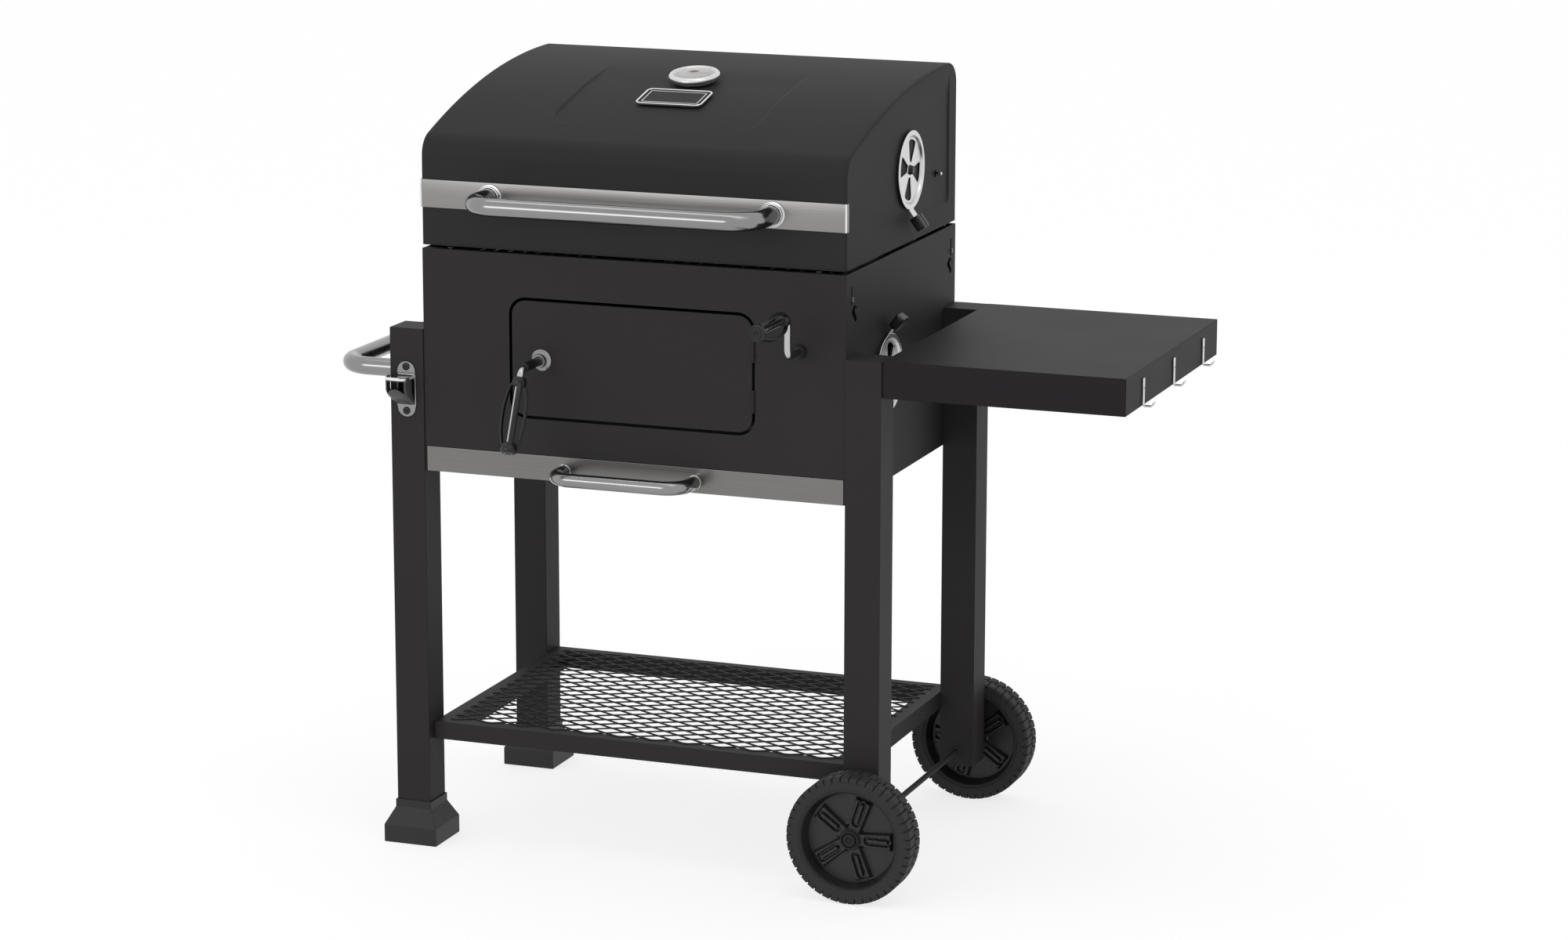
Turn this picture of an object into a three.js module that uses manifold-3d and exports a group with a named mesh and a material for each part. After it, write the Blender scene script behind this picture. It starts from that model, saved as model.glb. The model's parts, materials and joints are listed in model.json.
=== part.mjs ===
// Charcoal barrel grill on a cart: a sheet-steel firebox with a hinged lid, a charcoal door, an ash drawer
// and a crank that lifts the charcoal tray, on four square legs with two feet, an axle and two wheels.
// Millimetres. X runs from the left wall of the firebox to the right, Y from its front to its back, Z up.

import * as THREE from 'three';
import { mergeVertices } from 'three/addons/utils/BufferGeometryUtils.js';
import Module from 'manifold-3d';

const wasm = await Module();
wasm.setup();

// Driving dimensions

const touch = 0.3; // gap between faces that rest on each other
const sheet = 2; // steel sheet of the firebox, lid and door
const overlap = 1; // how far two joined solids run into each other before they are united

const boxWidth = 610;
const boxDepth = 455.5;
const boxHeight = 309;
const boxClearance = 533; // height of the firebox walls' lower edge over the ground

const lidGap = 4.8;
const lidHeight = 224.2;
const crownRadius = 1150;
const kneeRadius = 32;
const backRadius = 30;
const bandHeight = 38;
const bandThickness = 1;
const bandLift = 51.5; // from the lid's lower edge to the band
const bandWrap = 6;

const lidHandleSpan = 406;
const lidHandleReach = 82;
const lidHandleTube = 25.4;
const lidHandleBend = 40;
const rosetteRadius = 16;

const legSize = 50;
const legWall = 2;
const legTop = 730;
const legProud = 2; // how far a leg stands out of the firebox, front and back
const rightLegFoot = 67;

const footFlare = 14.5;
const footBase = 25;
const footHeight = 60;
const footCollar = 11;
const footCollarProud = 2;
const footSole = 6;

const shelfRailTop = 173;
const shelfRail = 25;
const shelfFrontInset = 15; // from the front legs' front faces to the lower shelf's frame
const shelfRearInset = 7.5;
const meshThickness = 3;
const meshColumns = 6;
const meshRows = 7;
const meshStrand = 6;

const wheelRadius = 88;
const wheelWidth = 44;
const tyreInner = 62;
const wheelGap = 9; // between a wheel and the leg beside it
const hubRadius = 16;
const spokeCount = 5;
const axleRadius = 4;
const axleRun = 0.4; // running clearance round the axle
const axleNutRadius = 13;
const axleNutDepth = 5;
const axleNutGrip = 3; // how far the axle reaches past the rear hub, into its nut
const axleSpacerRadius = 9;
const rimWall = 5;
const rimWeb = 3; // half thickness of the web between hub and rim
const ribHeight = 12; // half height of the paired ribs
const ribWidth = 4;
const ribOffset = 9; // from the middle of a spoke to each of its ribs

const openingHeight = 166.3;
const openingLift = 48.85; // from the front panel's lower edge to the door opening
const openingLeft = 127.3; // from the firebox's left wall to the door opening
const openingRight = 127.7; // from the door opening to the firebox's right wall
const openingCorner = 24;
const doorGap = 4.3;
const doorFlange = 4;
const lipDepth = 12; // rim of the front panel, turned in under the lid

const drawerFaceHeight = 35;
const panRearGap = 13.2; // from the ash pan to the firebox's rear face
const panHeight = 27;
const panWall = 1.5;
const runnerWidth = 14;
const drawerHandleSpan = 189;
const drawerHandleReach = 60;
const drawerHandleTube = 19;
const drawerHandleBend = 34;

const grateThickness = 8;
const grateDrop = 22; // from the firebox rim to the top of the cooking grates
const grateFrame = 8;
const grateBar = 6;
const grateBars = 13;
const grateRailWidth = 9;
const grateRailHeight = 8.7;
const frontRailInset = 22.5; // from the firebox's front to the middle of the front grate rail
const rearRailInset = 19.8;
const tongueWidth = 3;
const tongueProud = 2.5;
const tongueDrop = 2; // from a rail's top to its tongues
const tongueSlot = 4;
const tongueSlotHeight = 24;
const rackWire = 5;
const rackLift = 110; // warming rack over the cooking grates
const rackFront = 290;
const rackBars = 10;
const rackLeg = 4;
const rackLegInset = 14;

const trayEndGap = 16; // from the charcoal tray to each side face of the firebox
const trayFrontGap = 24;
const trayRearGap = 23.5;
const trayHeight = 40;
const trayLift = 57; // tray's underside over the ash drawer's runners at rest
const traySlotRows = 4;
const traySlotColumns = 6;
const traySlotLength = 58;
const traySlotWidth = 14;
const cradleBar = 8;
const cradleInset = 44; // from each end of the charcoal tray to its cradle
const cradleReach = 2; // how far the cradle stands out in front of the tray
const rearPostHeight = 100; // the cradle's plain post, from the underside of its frame
const guideRise = 60; // of the front tray guide over the crank's axis
const guideWidth = 10;

const crankInset = 65; // from the firebox's right wall to the crank's axis
const crankLift = 168.5; // from the front panel's lower edge to the crank's axis
const crankReach = 45;
const crankArm = 52;
const crankTravel = 60; // lift of the charcoal tray
const rodRadius = 5;
const rodBend = 11;
const bushingRadius = 9.5;
const bushingDepth = 6;
const rodRun = 0.4; // running clearance round the crank's and latch's rods
const gearModule = 2.5;
const gearTeeth = 16;
const gearThickness = 6;
const gearSetback = 8; // from the firebox's front to the gear
const backlash = 0.5;
const pressureAngle = THREE.MathUtils.degToRad(20);

const latchInset = 42.5; // from the door's left edge to the latch
const latchReach = 66;
const latchLean = THREE.MathUtils.degToRad(24);
const latchCam = 60;
const camThickness = 3;
const camWidth = 14;
const gripLength = 104;
const gripBulge = 18.5;
const gripCollar = 9;
const gripBowWidth = 5;
const gripBows = 3;
const escutcheonRadius = 15;
const escutcheonDepth = 10;

const gaugeY = 234;
const gaugeRadius = 35.5;
const gaugeHeight = 10;
const gaugeStem = 70;
const gaugeStemRadius = 4;
const gaugeStemRun = 0.5;
const badgeY = 159;
const badgeWidth = 100;
const badgeDepth = 58;

const damperRadius = 54;
const damperDish = 45;
const damperSheet = 1.5;
const damperRise = 2;
const damperSlotInner = 13;
const damperSlotOuter = 41.5;
const damperSlotAngle = THREE.MathUtils.degToRad(42);
const damperTurn = THREE.MathUtils.degToRad(-13);
const damperStud = 6;
const damperTabWidth = 17;
const damperTabRoot = 4;
const damperTabStep = 0.5;
const damperTabLength = 19.5;
const damperTabBend = THREE.MathUtils.degToRad(36);
const knobLength = 20;
const knobWidth = 24;
const knobThickness = 14;
const knobSocket = 9; // depth of the slot in the knob that the tab goes into
const lidDamperY = 250;
const lidDamperLift = 99.7; // over the lid's lower edge
const boxDamperY = 166;
const boxDamperLift = 149; // over the firebox walls' lower edge

const sideShelfLength = 331.6;
const sideShelfDepth = 452;
const sideShelfRise = 1.5; // of the side shelf's top over the legs' tops
const apronHeight = 50;
const hookWidth = 8;
const hookThickness = 2;
const hookHeight = 38;
const hookDrop = 13; // from the side shelf's top to a hook's top
const hookFoot = 14;
const hookLean = 4; // how far the hook's tip leans out past its foot
const hookTip = 8;
const hookPlaces = [78, 226, 374];

const sideHandleReach = 85;
const sideHandleTube = 25;
const sideHandleBend = 45;
const sideHandleDrop = 62; // from the legs' tops to the middle of the cart handle
const openerHeight = 77;
const openerWidth = 26;
const openerDrop = 46; // from the legs' tops to the bottle opener's upper end
const openerReach = 24;
const hoodFoot = 16; // from the opener's lower end to its hood
const hoodDrop = 20; // from the opener's upper end to its hood
const hoodLean = 6;
const hoodTaper = 4;

const hingePlaces = [90, 520];
const hingeWidth = 50;
const hingeLeaf = 30;
const hingeOffset = 6.5; // from the firebox's back to the hinge axis
const knuckleRadius = 4.5;
const pinRadius = 2;
const pinRun = 0.25;
const doorKnuckleRadius = 1.9;
const doorPin = 0.9;
const doorKnuckleLifts = [27.5, 96]; // from the door's lower edge to each knuckle group
const doorKnuckleHeight = 31;

// Places worked out from the dimensions

const rim = boxClearance + boxHeight;
const panelFoot = boxClearance + drawerFaceHeight;
const lidBase = rim + lidGap;
const crownY = boxDepth - backRadius;
const crownZ = lidBase + lidHeight - crownRadius;
const kneeZ = crownZ + Math.sqrt((crownRadius - kneeRadius) ** 2 - (crownY - kneeRadius) ** 2);
const wallInner = sheet + touch;
const sideShelfTop = legTop + sideShelfRise;
const openerBase = legTop - openerDrop - openerHeight;
const grateTop = rim - grateDrop;
const grateBottom = grateTop - grateThickness;
const railPlaces = [frontRailInset, boxDepth - rearRailInset];
const axleX = boxWidth + touch + legSize / 2;
const frontLegY = -legProud;
const rearLegY = boxDepth + legProud - legSize;
const crankZ = panelFoot + crankLift;
const pitchRadius = (gearModule * gearTeeth) / 2;
const openingWidth = boxWidth - openingLeft - openingRight;
const doorLeft = openingLeft + doorGap;
const doorWidth = openingWidth - 2 * doorGap;
const doorRight = doorLeft + doorWidth;
const openingFoot = panelFoot + openingLift;
const doorFoot = openingFoot + doorGap;
const doorTop = openingFoot + openingHeight - doorGap;
const doorHingeX = doorRight + doorGap / 2;
const doorHingeY = -1;
const latchX = doorLeft + latchInset;
const latchZ = (doorFoot + doorTop) / 2 - 1;
const crankX = boxWidth - crankInset;
const rackPitchX = crankX - pitchRadius;
const addendum = 0.9 * gearModule;
const dedendum = 1.25 * gearModule;
const toothPitch = Math.PI * gearModule;
const rackX = [rackPitchX - dedendum - 9, rackPitchX - dedendum];
const rackY = [gearSetback, gearSetback + gearThickness];
const trayFoot = boxClearance + sheet + trayLift + cradleBar + touch;
const cradleZ = [trayFoot - touch - cradleBar, trayFoot - touch];
const trayX = [trayEndGap, boxWidth - trayEndGap];
const trayY = [trayFrontGap, boxDepth - trayRearGap];
const hingeY = boxDepth + hingeOffset;
const hingeZ = rim + lidGap / 2;
const frontWheelY = frontLegY - wheelGap - wheelWidth / 2;
const rearWheelY = rearLegY + legSize + wheelGap + wheelWidth / 2;

// Shapes and solids

function block([x0, x1], [y0, y1], [z0, z1]) {
  const geometry = new THREE.BoxGeometry(x1 - x0, y1 - y0, z1 - z0);
  return geometry.translate((x0 + x1) / 2, (y0 + y1) / 2, (z0 + z1) / 2);
}

// A round bar along one axis; the other two coordinates of its centre line are given in X, Y, Z order.
function rod(axis, radius, [start, end], [a, b], sides = 20) {
  const geometry = new THREE.CylinderGeometry(radius, radius, end - start, sides);
  geometry.translate(0, (start + end) / 2, 0);
  if (axis === 'x') return geometry.rotateZ(-Math.PI / 2).translate(0, a, b);
  if (axis === 'z') return geometry.rotateX(Math.PI / 2).translate(a, b, 0);
  return geometry.translate(a, 0, b);
}

// A turned solid about one axis. Its profile lists [radius, height] and starts and ends on the axis.
function turned(axis, profile, sides = 32) {
  const geometry = new THREE.LatheGeometry(profile.map(([r, h]) => new THREE.Vector2(r, h)), sides);
  if (axis === 'x') return geometry.rotateZ(-Math.PI / 2);
  if (axis === 'z') return geometry.rotateX(Math.PI / 2);
  return geometry;
}

function turnedRing(axis, profile, sides) {
  return turned(axis, [...profile, profile[0]], sides);
}

// A flat outline pushed along one axis: drawn in Y and Z for X, in X and Z for Y, in X and Y for Z.
function prism(axis, shape, [start, end], curveSegments = 2) {
  const options = { depth: end - start, bevelEnabled: false, curveSegments };
  const geometry = new THREE.ExtrudeGeometry(shape, options);
  const [x, y, z] = [new THREE.Vector3(1, 0, 0), new THREE.Vector3(0, 1, 0), new THREE.Vector3(0, 0, 1)];
  if (axis === 'x') {
    return geometry.applyMatrix4(new THREE.Matrix4().makeBasis(y, z, x)).translate(start, 0, 0);
  }
  if (axis === 'y') {
    return geometry.applyMatrix4(new THREE.Matrix4().makeBasis(x, z, y.negate())).translate(0, end, 0);
  }
  return geometry.translate(0, 0, start);
}

function outline(points) {
  return new THREE.Shape(points.map(([u, v]) => new THREE.Vector2(u, v)));
}

function arcPoints([u, v], radius, start, end, steps) {
  return Array.from({ length: steps + 1 }, (_, i) => {
    const angle = start + ((end - start) * i) / steps;
    return [u + radius * Math.cos(angle), v + radius * Math.sin(angle)];
  });
}

function roundedRectangle([u0, u1], [v0, v1], radius) {
  const corner = (u, v, start) => arcPoints([u, v], radius, start, start + Math.PI / 2, 7);
  return outline([
    ...corner(u1 - radius, v0 + radius, -Math.PI / 2),
    ...corner(u1 - radius, v1 - radius, 0),
    ...corner(u0 + radius, v1 - radius, Math.PI / 2),
    ...corner(u0 + radius, v0 + radius, Math.PI),
  ]);
}

// Straight runs between the points, with each corner rounded off over the bend length.
function bentPath(points, bend) {
  const corners = points.map((point) => new THREE.Vector3(...point));
  const path = [corners[0]];
  for (let i = 1; i < corners.length - 1; i += 1) {
    const back = corners[i - 1].clone().sub(corners[i]).setLength(bend);
    const onward = corners[i + 1].clone().sub(corners[i]).setLength(bend);
    const enter = corners[i].clone().add(back);
    const leave = corners[i].clone().add(onward);
    path.push(...new THREE.QuadraticBezierCurve3(enter, corners[i], leave).getPoints(6));
  }
  return [...path, corners.at(-1)];
}

// A round bar along points in one plane, whose normal is given; its rings stand square to the path.
function bar(path, normal, radius, sides = 12) {
  const rings = path.map((point, i) => {
    const before = path[Math.max(i - 1, 0)];
    const after = path[Math.min(i + 1, path.length - 1)];
    const across = new THREE.Vector3().crossVectors(after.clone().sub(before).normalize(), normal);
    return arcPoints([0, 0], radius, 0, 2 * Math.PI * (1 - 1 / sides), sides - 1).map(([u, v]) =>
      point.clone().addScaledVector(across, u).addScaledVector(normal, v));
  });
  const corner = (ring, side) => ring * sides + (side % sides);
  const faces = [];
  for (let i = 0; i < rings.length - 1; i += 1) {
    for (let j = 0; j < sides; j += 1) {
      const [a, b, c, d] = [corner(i, j), corner(i, j + 1), corner(i + 1, j + 1), corner(i + 1, j)];
      faces.push(a, b, c, a, c, d);
    }
  }
  for (let j = 1; j < sides - 1; j += 1) {
    faces.push(corner(0, 0), corner(0, j + 1), corner(0, j));
    faces.push(corner(rings.length - 1, 0), corner(rings.length - 1, j), corner(rings.length - 1, j + 1));
  }
  const geometry = new THREE.BufferGeometry().setFromPoints(rings.flat());
  geometry.setIndex(faces);
  return geometry;
}

const alongX = new THREE.Vector3(1, 0, 0);
const alongY = new THREE.Vector3(0, 1, 0);
const alongZ = new THREE.Vector3(0, 0, 1);

function toSolid(geometry) {
  const plain = geometry.clone();
  plain.deleteAttribute('normal');
  plain.deleteAttribute('uv');
  const merged = mergeVertices(plain, 1e-4);
  const faces = [];
  for (let i = 0; i < merged.index.count; i += 3) {
    const [a, b, c] = [0, 1, 2].map((k) => merged.index.getX(i + k));
    if (a !== b && b !== c && c !== a) faces.push([a, b, c]);
  }
  const build = (triangles) =>
    new wasm.Manifold(
      new wasm.Mesh({
        numProp: 3,
        vertProperties: new Float32Array(merged.attributes.position.array),
        triVerts: new Uint32Array(triangles.flat()),
      }),
    );
  const solid = build(faces);
  return solid.volume() > 0 ? solid : build(faces.map(([a, b, c]) => [a, c, b]));
}

function toGeometry(solid) {
  const mesh = solid.getMesh();
  const geometry = new THREE.BufferGeometry();
  geometry.setAttribute('position', new THREE.BufferAttribute(mesh.vertProperties, 3));
  geometry.setIndex(new THREE.BufferAttribute(mesh.triVerts, 1));
  geometry.computeVertexNormals();
  return geometry;
}

function join(first, ...others) {
  return toGeometry(others.reduce((solid, other) => solid.add(toSolid(other)), toSolid(first)));
}

function cut(first, ...others) {
  return toGeometry(others.reduce((solid, other) => solid.subtract(toSolid(other)), toSolid(first)));
}

// Finishes

function finish(color, roughness, metalness) {
  return () => new THREE.MeshStandardMaterial({ color, roughness, metalness });
}

const powderCoat = finish(0x2b2a2b, 0.55, 0.1);
const brushedSteel = finish(0x9a9894, 0.38, 1);
const chrome = finish(0xd8d8d8, 0.12, 1);
const tyreRubber = finish(0x2a2a2b, 0.8, 0);
const blackPlastic = finish(0x1c1c1d, 0.5, 0);
const enamel = finish(0x151515, 0.35, 0);
const rawSteel = finish(0x6d6c6a, 0.45, 0.9);

function piece(name, geometry, material) {
  const mesh = new THREE.Mesh(toGeometry(toSolid(geometry)), material());
  mesh.name = name;
  return mesh;
}

function placed(mesh, x, y, z) {
  mesh.position.set(x, y, z);
  return mesh;
}

// Cart

function leg(foot) {
  const inside = [legWall, legSize - legWall];
  const tube = block([0, legSize], [0, legSize], [foot, legTop]);
  return cut(tube, block(inside, inside, [foot - overlap, legTop - legWall]));
}

function wheelLeg() {
  const hole = rod('y', axleRadius + axleRun, [-overlap, legSize + overlap], [legSize / 2, wheelRadius]);
  return cut(leg(rightLegFoot), hole);
}

// A square socket with a flared base; its corners lie on the diagonals of a four-sided turned profile.
function foot() {
  const collar = legSize / 2 + footCollarProud;
  const base = legSize / 2 + footFlare;
  const profile = [
    [0, 0],
    [base, 0],
    [base, footBase],
    [collar, footHeight - footCollar],
    [collar, footHeight],
    [0, footHeight],
  ];
  const body = turned('z', profile.map(([half, z]) => [half * Math.SQRT2, z]), 4).rotateZ(Math.PI / 4);
  const socket = [-legSize / 2 - touch, legSize / 2 + touch];
  return cut(body, block(socket, socket, [footSole, footHeight + overlap]));
}

const shelfFrameX = [0, boxWidth];
const shelfFrameY = [frontLegY + shelfFrontInset, rearLegY + legSize - shelfRearInset];

function lowerShelfFrame() {
  const inner = (range, by) => [range[0] + by, range[1] - by];
  const outer = block(shelfFrameX, shelfFrameY, [shelfRailTop - shelfRail, shelfRailTop]);
  const hole = [shelfRailTop - shelfRail - overlap, shelfRailTop + overlap];
  return cut(outer, block(inner(shelfFrameX, shelfRail), inner(shelfFrameY, shelfRail), hole));
}

// Expanded metal drawn coarse: staggered rows of diamonds, long along X, that leave crossing strands.
function meshShelf() {
  const x = [shelfFrameX[0] + shelfRail + touch, shelfFrameX[1] - shelfRail - touch];
  const y = [shelfFrameY[0] + shelfRail + touch, shelfFrameY[1] - shelfRail - touch];
  const pitchX = (x[1] - x[0] - 2 * meshStrand) / meshColumns;
  const pitchY = (y[1] - y[0] - 2 * meshStrand) / meshRows;
  const halfX = pitchX / 2 - meshStrand;
  const halfY = halfX * (pitchY / pitchX);
  const plate = outline([[x[0], y[0]], [x[1], y[0]], [x[1], y[1]], [x[0], y[1]]]);
  for (let j = 0; j < 2 * meshRows - 1; j += 1) {
    const shift = j % 2;
    for (let i = 0; i < meshColumns - shift; i += 1) {
      const u = x[0] + meshStrand + pitchX * (i + (1 + shift) / 2);
      const v = y[0] + meshStrand + (pitchY * (j + 1)) / 2;
      plate.holes.push(outline([[u - halfX, v], [u, v - halfY], [u + halfX, v], [u, v + halfY]]));
    }
  }
  return prism('z', plate, [shelfRailTop - meshThickness, shelfRailTop]);
}

function tyre() {
  const half = wheelWidth / 2;
  const shoulder = 5;
  const profile = [
    [tyreInner, -half + shoulder / 2],
    [tyreInner + shoulder, -half],
    [wheelRadius - shoulder, -half],
    [wheelRadius, -half + shoulder],
    [wheelRadius, half - shoulder],
    [wheelRadius - shoulder, half],
    [tyreInner + shoulder, half],
    [tyreInner, half - shoulder / 2],
  ];
  return turnedRing('y', profile, 40);
}

// Hub, web and rim in one turned piece, with pairs of ribs from the hub to the rim.
function wheelRim() {
  const half = wheelWidth / 2;
  const rimOuter = tyreInner - touch;
  const profile = [
    [axleRadius + axleRun, -half],
    [hubRadius, -half],
    [hubRadius, -rimWeb],
    [rimOuter - rimWall, -rimWeb],
    [rimOuter - rimWall, -half + rimWall],
    [rimOuter, -half + rimWall],
    [rimOuter, half - rimWall],
    [rimOuter - rimWall, half - rimWall],
    [rimOuter - rimWall, rimWeb],
    [hubRadius, rimWeb],
    [hubRadius, half],
    [axleRadius + axleRun, half],
  ];
  const ribs = [];
  for (let i = 0; i < spokeCount; i += 1) {
    for (const side of [-1, 1]) {
      const z = [side * ribOffset - ribWidth / 2, side * ribOffset + ribWidth / 2];
      const rib = block([hubRadius - ribWidth, rimOuter - rimWall + overlap], [-ribHeight, ribHeight], z);
      ribs.push(rib.rotateY((2 * Math.PI * i) / spokeCount));
    }
  }
  return join(turnedRing('y', profile, 32), ...ribs);
}

function axle() {
  const centre = [axleX, wheelRadius];
  const frontHub = frontWheelY - wheelWidth / 2 - touch;
  const rearHub = rearWheelY + wheelWidth / 2;
  const shaft = rod('y', axleRadius, [frontHub - overlap, rearHub + axleNutGrip], centre);
  const head = rod('y', axleNutRadius, [frontHub - axleNutDepth, frontHub], centre);
  const frontSpacer = [frontLegY - wheelGap + touch, frontLegY - touch];
  const rearSpacer = [rearLegY + legSize + touch, rearLegY + legSize + wheelGap - touch];
  const spacers = [frontSpacer, rearSpacer].map((y) => rod('y', axleSpacerRadius, y, centre));
  return join(shaft, head, ...spacers);
}

function axleNut() {
  const hub = rearWheelY + wheelWidth / 2;
  const nut = rod('y', axleNutRadius, [hub + touch, hub + touch + axleNutDepth], [axleX, wheelRadius]);
  return cut(nut, rod('y', axleRadius + touch, [hub, hub + axleNutGrip + touch], [axleX, wheelRadius]));
}

function sideShelf() {
  const x = [boxWidth + 2 * touch + legSize, boxWidth + 2 * touch + legSize + sideShelfLength];
  const z = [sideShelfTop - apronHeight, sideShelfTop];
  const inside = (range) => [range[0] + sheet, range[1] - sheet];
  const hollow = block(inside(x), inside([0, sideShelfDepth]), [z[0] - overlap, z[1] - sheet]);
  return cut(block(x, [0, sideShelfDepth], z), hollow);
}

function toolHook() {
  const t = hookThickness;
  const tip = hookFoot + hookLean;
  const outer = [[0, hookHeight], [0, 0], [hookFoot, 0], [tip, hookTip]];
  const inner = [[tip - t, hookTip], [hookFoot - t, t], [t, t], [t, hookHeight]];
  return prism('y', outline([...outer, ...inner]), [-hookWidth / 2, hookWidth / 2]);
}

function sideHandle() {
  const inner = -2 * touch - legSize;
  const [front, rear] = [frontLegY + legSize / 2, rearLegY + legSize / 2];
  const outer = inner - sideHandleReach;
  const z = legTop - sideHandleDrop;
  const corners = [[inner, front, z], [outer, front, z], [outer, rear, z], [inner, rear, z]];
  return bar(bentPath(corners, sideHandleBend), alongZ, sideHandleTube / 2);
}

// A wall plate with a hood that stands out from it, open above and below.
function bottleOpener() {
  const back = frontLegY - touch;
  const front = back - openerReach;
  const half = openerWidth / 2;
  const t = sheet;
  const plate = block([-half, half], [back - t, back], [openerBase, openerBase + openerHeight]);
  const hoodZ = [openerBase + hoodFoot, openerBase + openerHeight - hoodDrop];
  const left = -half - hoodLean;
  const right = half - hoodTaper;
  const hood = outline([[-half, back - overlap], [left, front], [right, front], [half, back - overlap]]);
  const mouth = outline([
    [-half + t, back - t],
    [left + t, front + t],
    [right - t, front + t],
    [half - t, back - t],
  ]);
  const hollow = prism('z', mouth, [hoodZ[0] - overlap, hoodZ[1] + overlap]);
  return join(plate, cut(prism('z', hood, hoodZ), hollow));
}

// Firebox

function doorOpening(y, inset, foot) {
  const x = [openingLeft + inset, openingLeft + openingWidth - inset];
  const z = [foot + inset, foot + openingHeight - inset];
  return prism('y', roundedRectangle(x, z, openingCorner - inset), y);
}

function fireboxFront() {
  const panel = block([0, boxWidth], [0, sheet], [panelFoot, rim]);
  const lipX = [wallInner + touch, boxWidth - wallInner - touch];
  const lip = block(lipX, [sheet - overlap, lipDepth], [rim - sheet, rim]);
  const crankHole = rod('y', bushingRadius - 2, [-overlap, sheet + overlap], [crankX, crankZ]);
  return cut(join(panel, lip), doorOpening([-overlap, sheet + overlap], 0, openingFoot), crankHole);
}

function fireboxBack() {
  return block([0, boxWidth], [boxDepth - sheet, boxDepth], [boxClearance, rim]);
}

function damperSlots(turn) {
  const half = damperSlotAngle / 2;
  return [0, 1, 2, 3].map((i) => {
    const middle = Math.PI / 2 + turn + (i * Math.PI) / 2;
    const outer = arcPoints([0, 0], damperSlotOuter, middle - half, middle + half, 5);
    const inner = arcPoints([0, 0], damperSlotInner, middle + half, middle - half, 1);
    return prism('x', outline([...outer, ...inner]), [-6, 6]);
  });
}

// The rivet that a damper disc turns on stands on the wall and holds the disc under its head.
function damperRivet() {
  const headFoot = damperSheet + 2 * touch;
  return join(
    rod('x', damperStud, [-overlap, headFoot + overlap], [0, 0], 24),
    rod('x', damperStud + 3, [headFoot, headFoot + damperSheet], [0, 0], 24),
  );
}

function ventWall(wall, x, y, z, turn) {
  const slots = damperSlots(turn).map((slot) => slot.translate(x, y, z));
  return join(cut(wall, ...slots), damperRivet().translate(x, y, z));
}

function fireboxSide(x, runnerX) {
  const back = boxDepth - wallInner;
  const wall = prism('x', outline([
    [0, boxClearance],
    [back, boxClearance],
    [back, rim],
    [wallInner, rim],
    [wallInner, panelFoot - touch],
    [0, panelFoot - touch],
  ]), x);
  const runner = block(runnerX, [wallInner, back - overlap], [boxClearance, boxClearance + sheet]);
  const slotTop = grateBottom + tongueSlotHeight / 2 - overlap;
  const slotFoot = slotTop - tongueSlotHeight;
  const slots = railPlaces.map((y) =>
    block([x[0] - overlap, x[1] + overlap], [y - tongueSlot / 2, y + tongueSlot / 2], [slotFoot, slotTop]));
  return cut(join(wall, runner), ...slots);
}

function fireboxLeft() {
  return fireboxSide([0, sheet], [overlap, sheet + runnerWidth]);
}

function fireboxRight() {
  const x = [boxWidth - sheet, boxWidth];
  const side = fireboxSide(x, [x[0] - runnerWidth, x[1] - overlap]);
  return ventWall(side, boxWidth, boxDamperY, boxClearance + boxDamperLift, damperTurn);
}

// Cooking and fire

function grateRail(y) {
  const top = grateBottom - touch;
  const half = grateRailWidth / 2;
  const railX = [wallInner + touch, boxWidth - wallInner - touch];
  const rail = block(railX, [y - half, y + half], [top - grateRailHeight, top]);
  const tongueX = [-tongueProud, boxWidth + tongueProud];
  const tongueY = [y - tongueWidth / 2, y + tongueWidth / 2];
  return join(rail, block(tongueX, tongueY, [top - grateRailHeight, top - tongueDrop]));
}

// A flat plate with rectangular holes, each given as its own ranges in X and Y.
function barredPlate(x, y, z, holes) {
  return cut(block(x, y, z), ...holes.map(([u, v]) => block(u, v, [z[0] - overlap, z[1] + overlap])));
}

// A square frame with bars from front to back.
function cookingGrate(x) {
  const half = grateRailWidth / 2 + touch;
  const y = [railPlaces[0] - half, railPlaces[1] + half];
  const gap = (x[1] - x[0] - 2 * grateFrame - grateBars * grateBar) / (grateBars + 1);
  const holes = Array.from({ length: grateBars + 1 }, (_, i) => {
    const start = x[0] + grateFrame + i * (gap + grateBar);
    return [[start, start + gap], [y[0] + grateFrame, y[1] - grateFrame]];
  });
  return barredPlate(x, y, [grateBottom, grateTop], holes);
}

const grateHalves = [
  [wallInner + touch, boxWidth / 2 - touch],
  [boxWidth / 2 + touch, boxWidth - wallInner - touch],
];

// Welded wires on four legs that stand on the outer bars of the two cooking grates.
function warmingRack() {
  const ends = [grateHalves[0][0], grateHalves[1][1]].map((x, i) => x + (i ? -1 : 1) * grateFrame / 2);
  const x = [ends[0] - rackWire / 2, ends[1] + rackWire / 2];
  const y = [rackFront, railPlaces[1]];
  const z = [grateTop + rackLift - rackWire, grateTop + rackLift];
  const pitch = (y[1] - y[0] - rackWire) / (rackBars - 1);
  const holes = Array.from({ length: rackBars - 1 }, (_, i) => {
    const start = y[0] + i * pitch + rackWire;
    return [[x[0] + rackWire, x[1] - rackWire], [start, start + pitch - rackWire]];
  });
  const half = rackLeg / 2;
  const legs = ends.flatMap((u) => [y[0] + rackWire / 2, y[1] - rackLegInset].map((v) =>
    block([u - half, u + half], [v - half, v + half], [grateTop + touch, z[0] + overlap])));
  return join(barredPlate(x, y, z, holes), ...legs);
}

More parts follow.
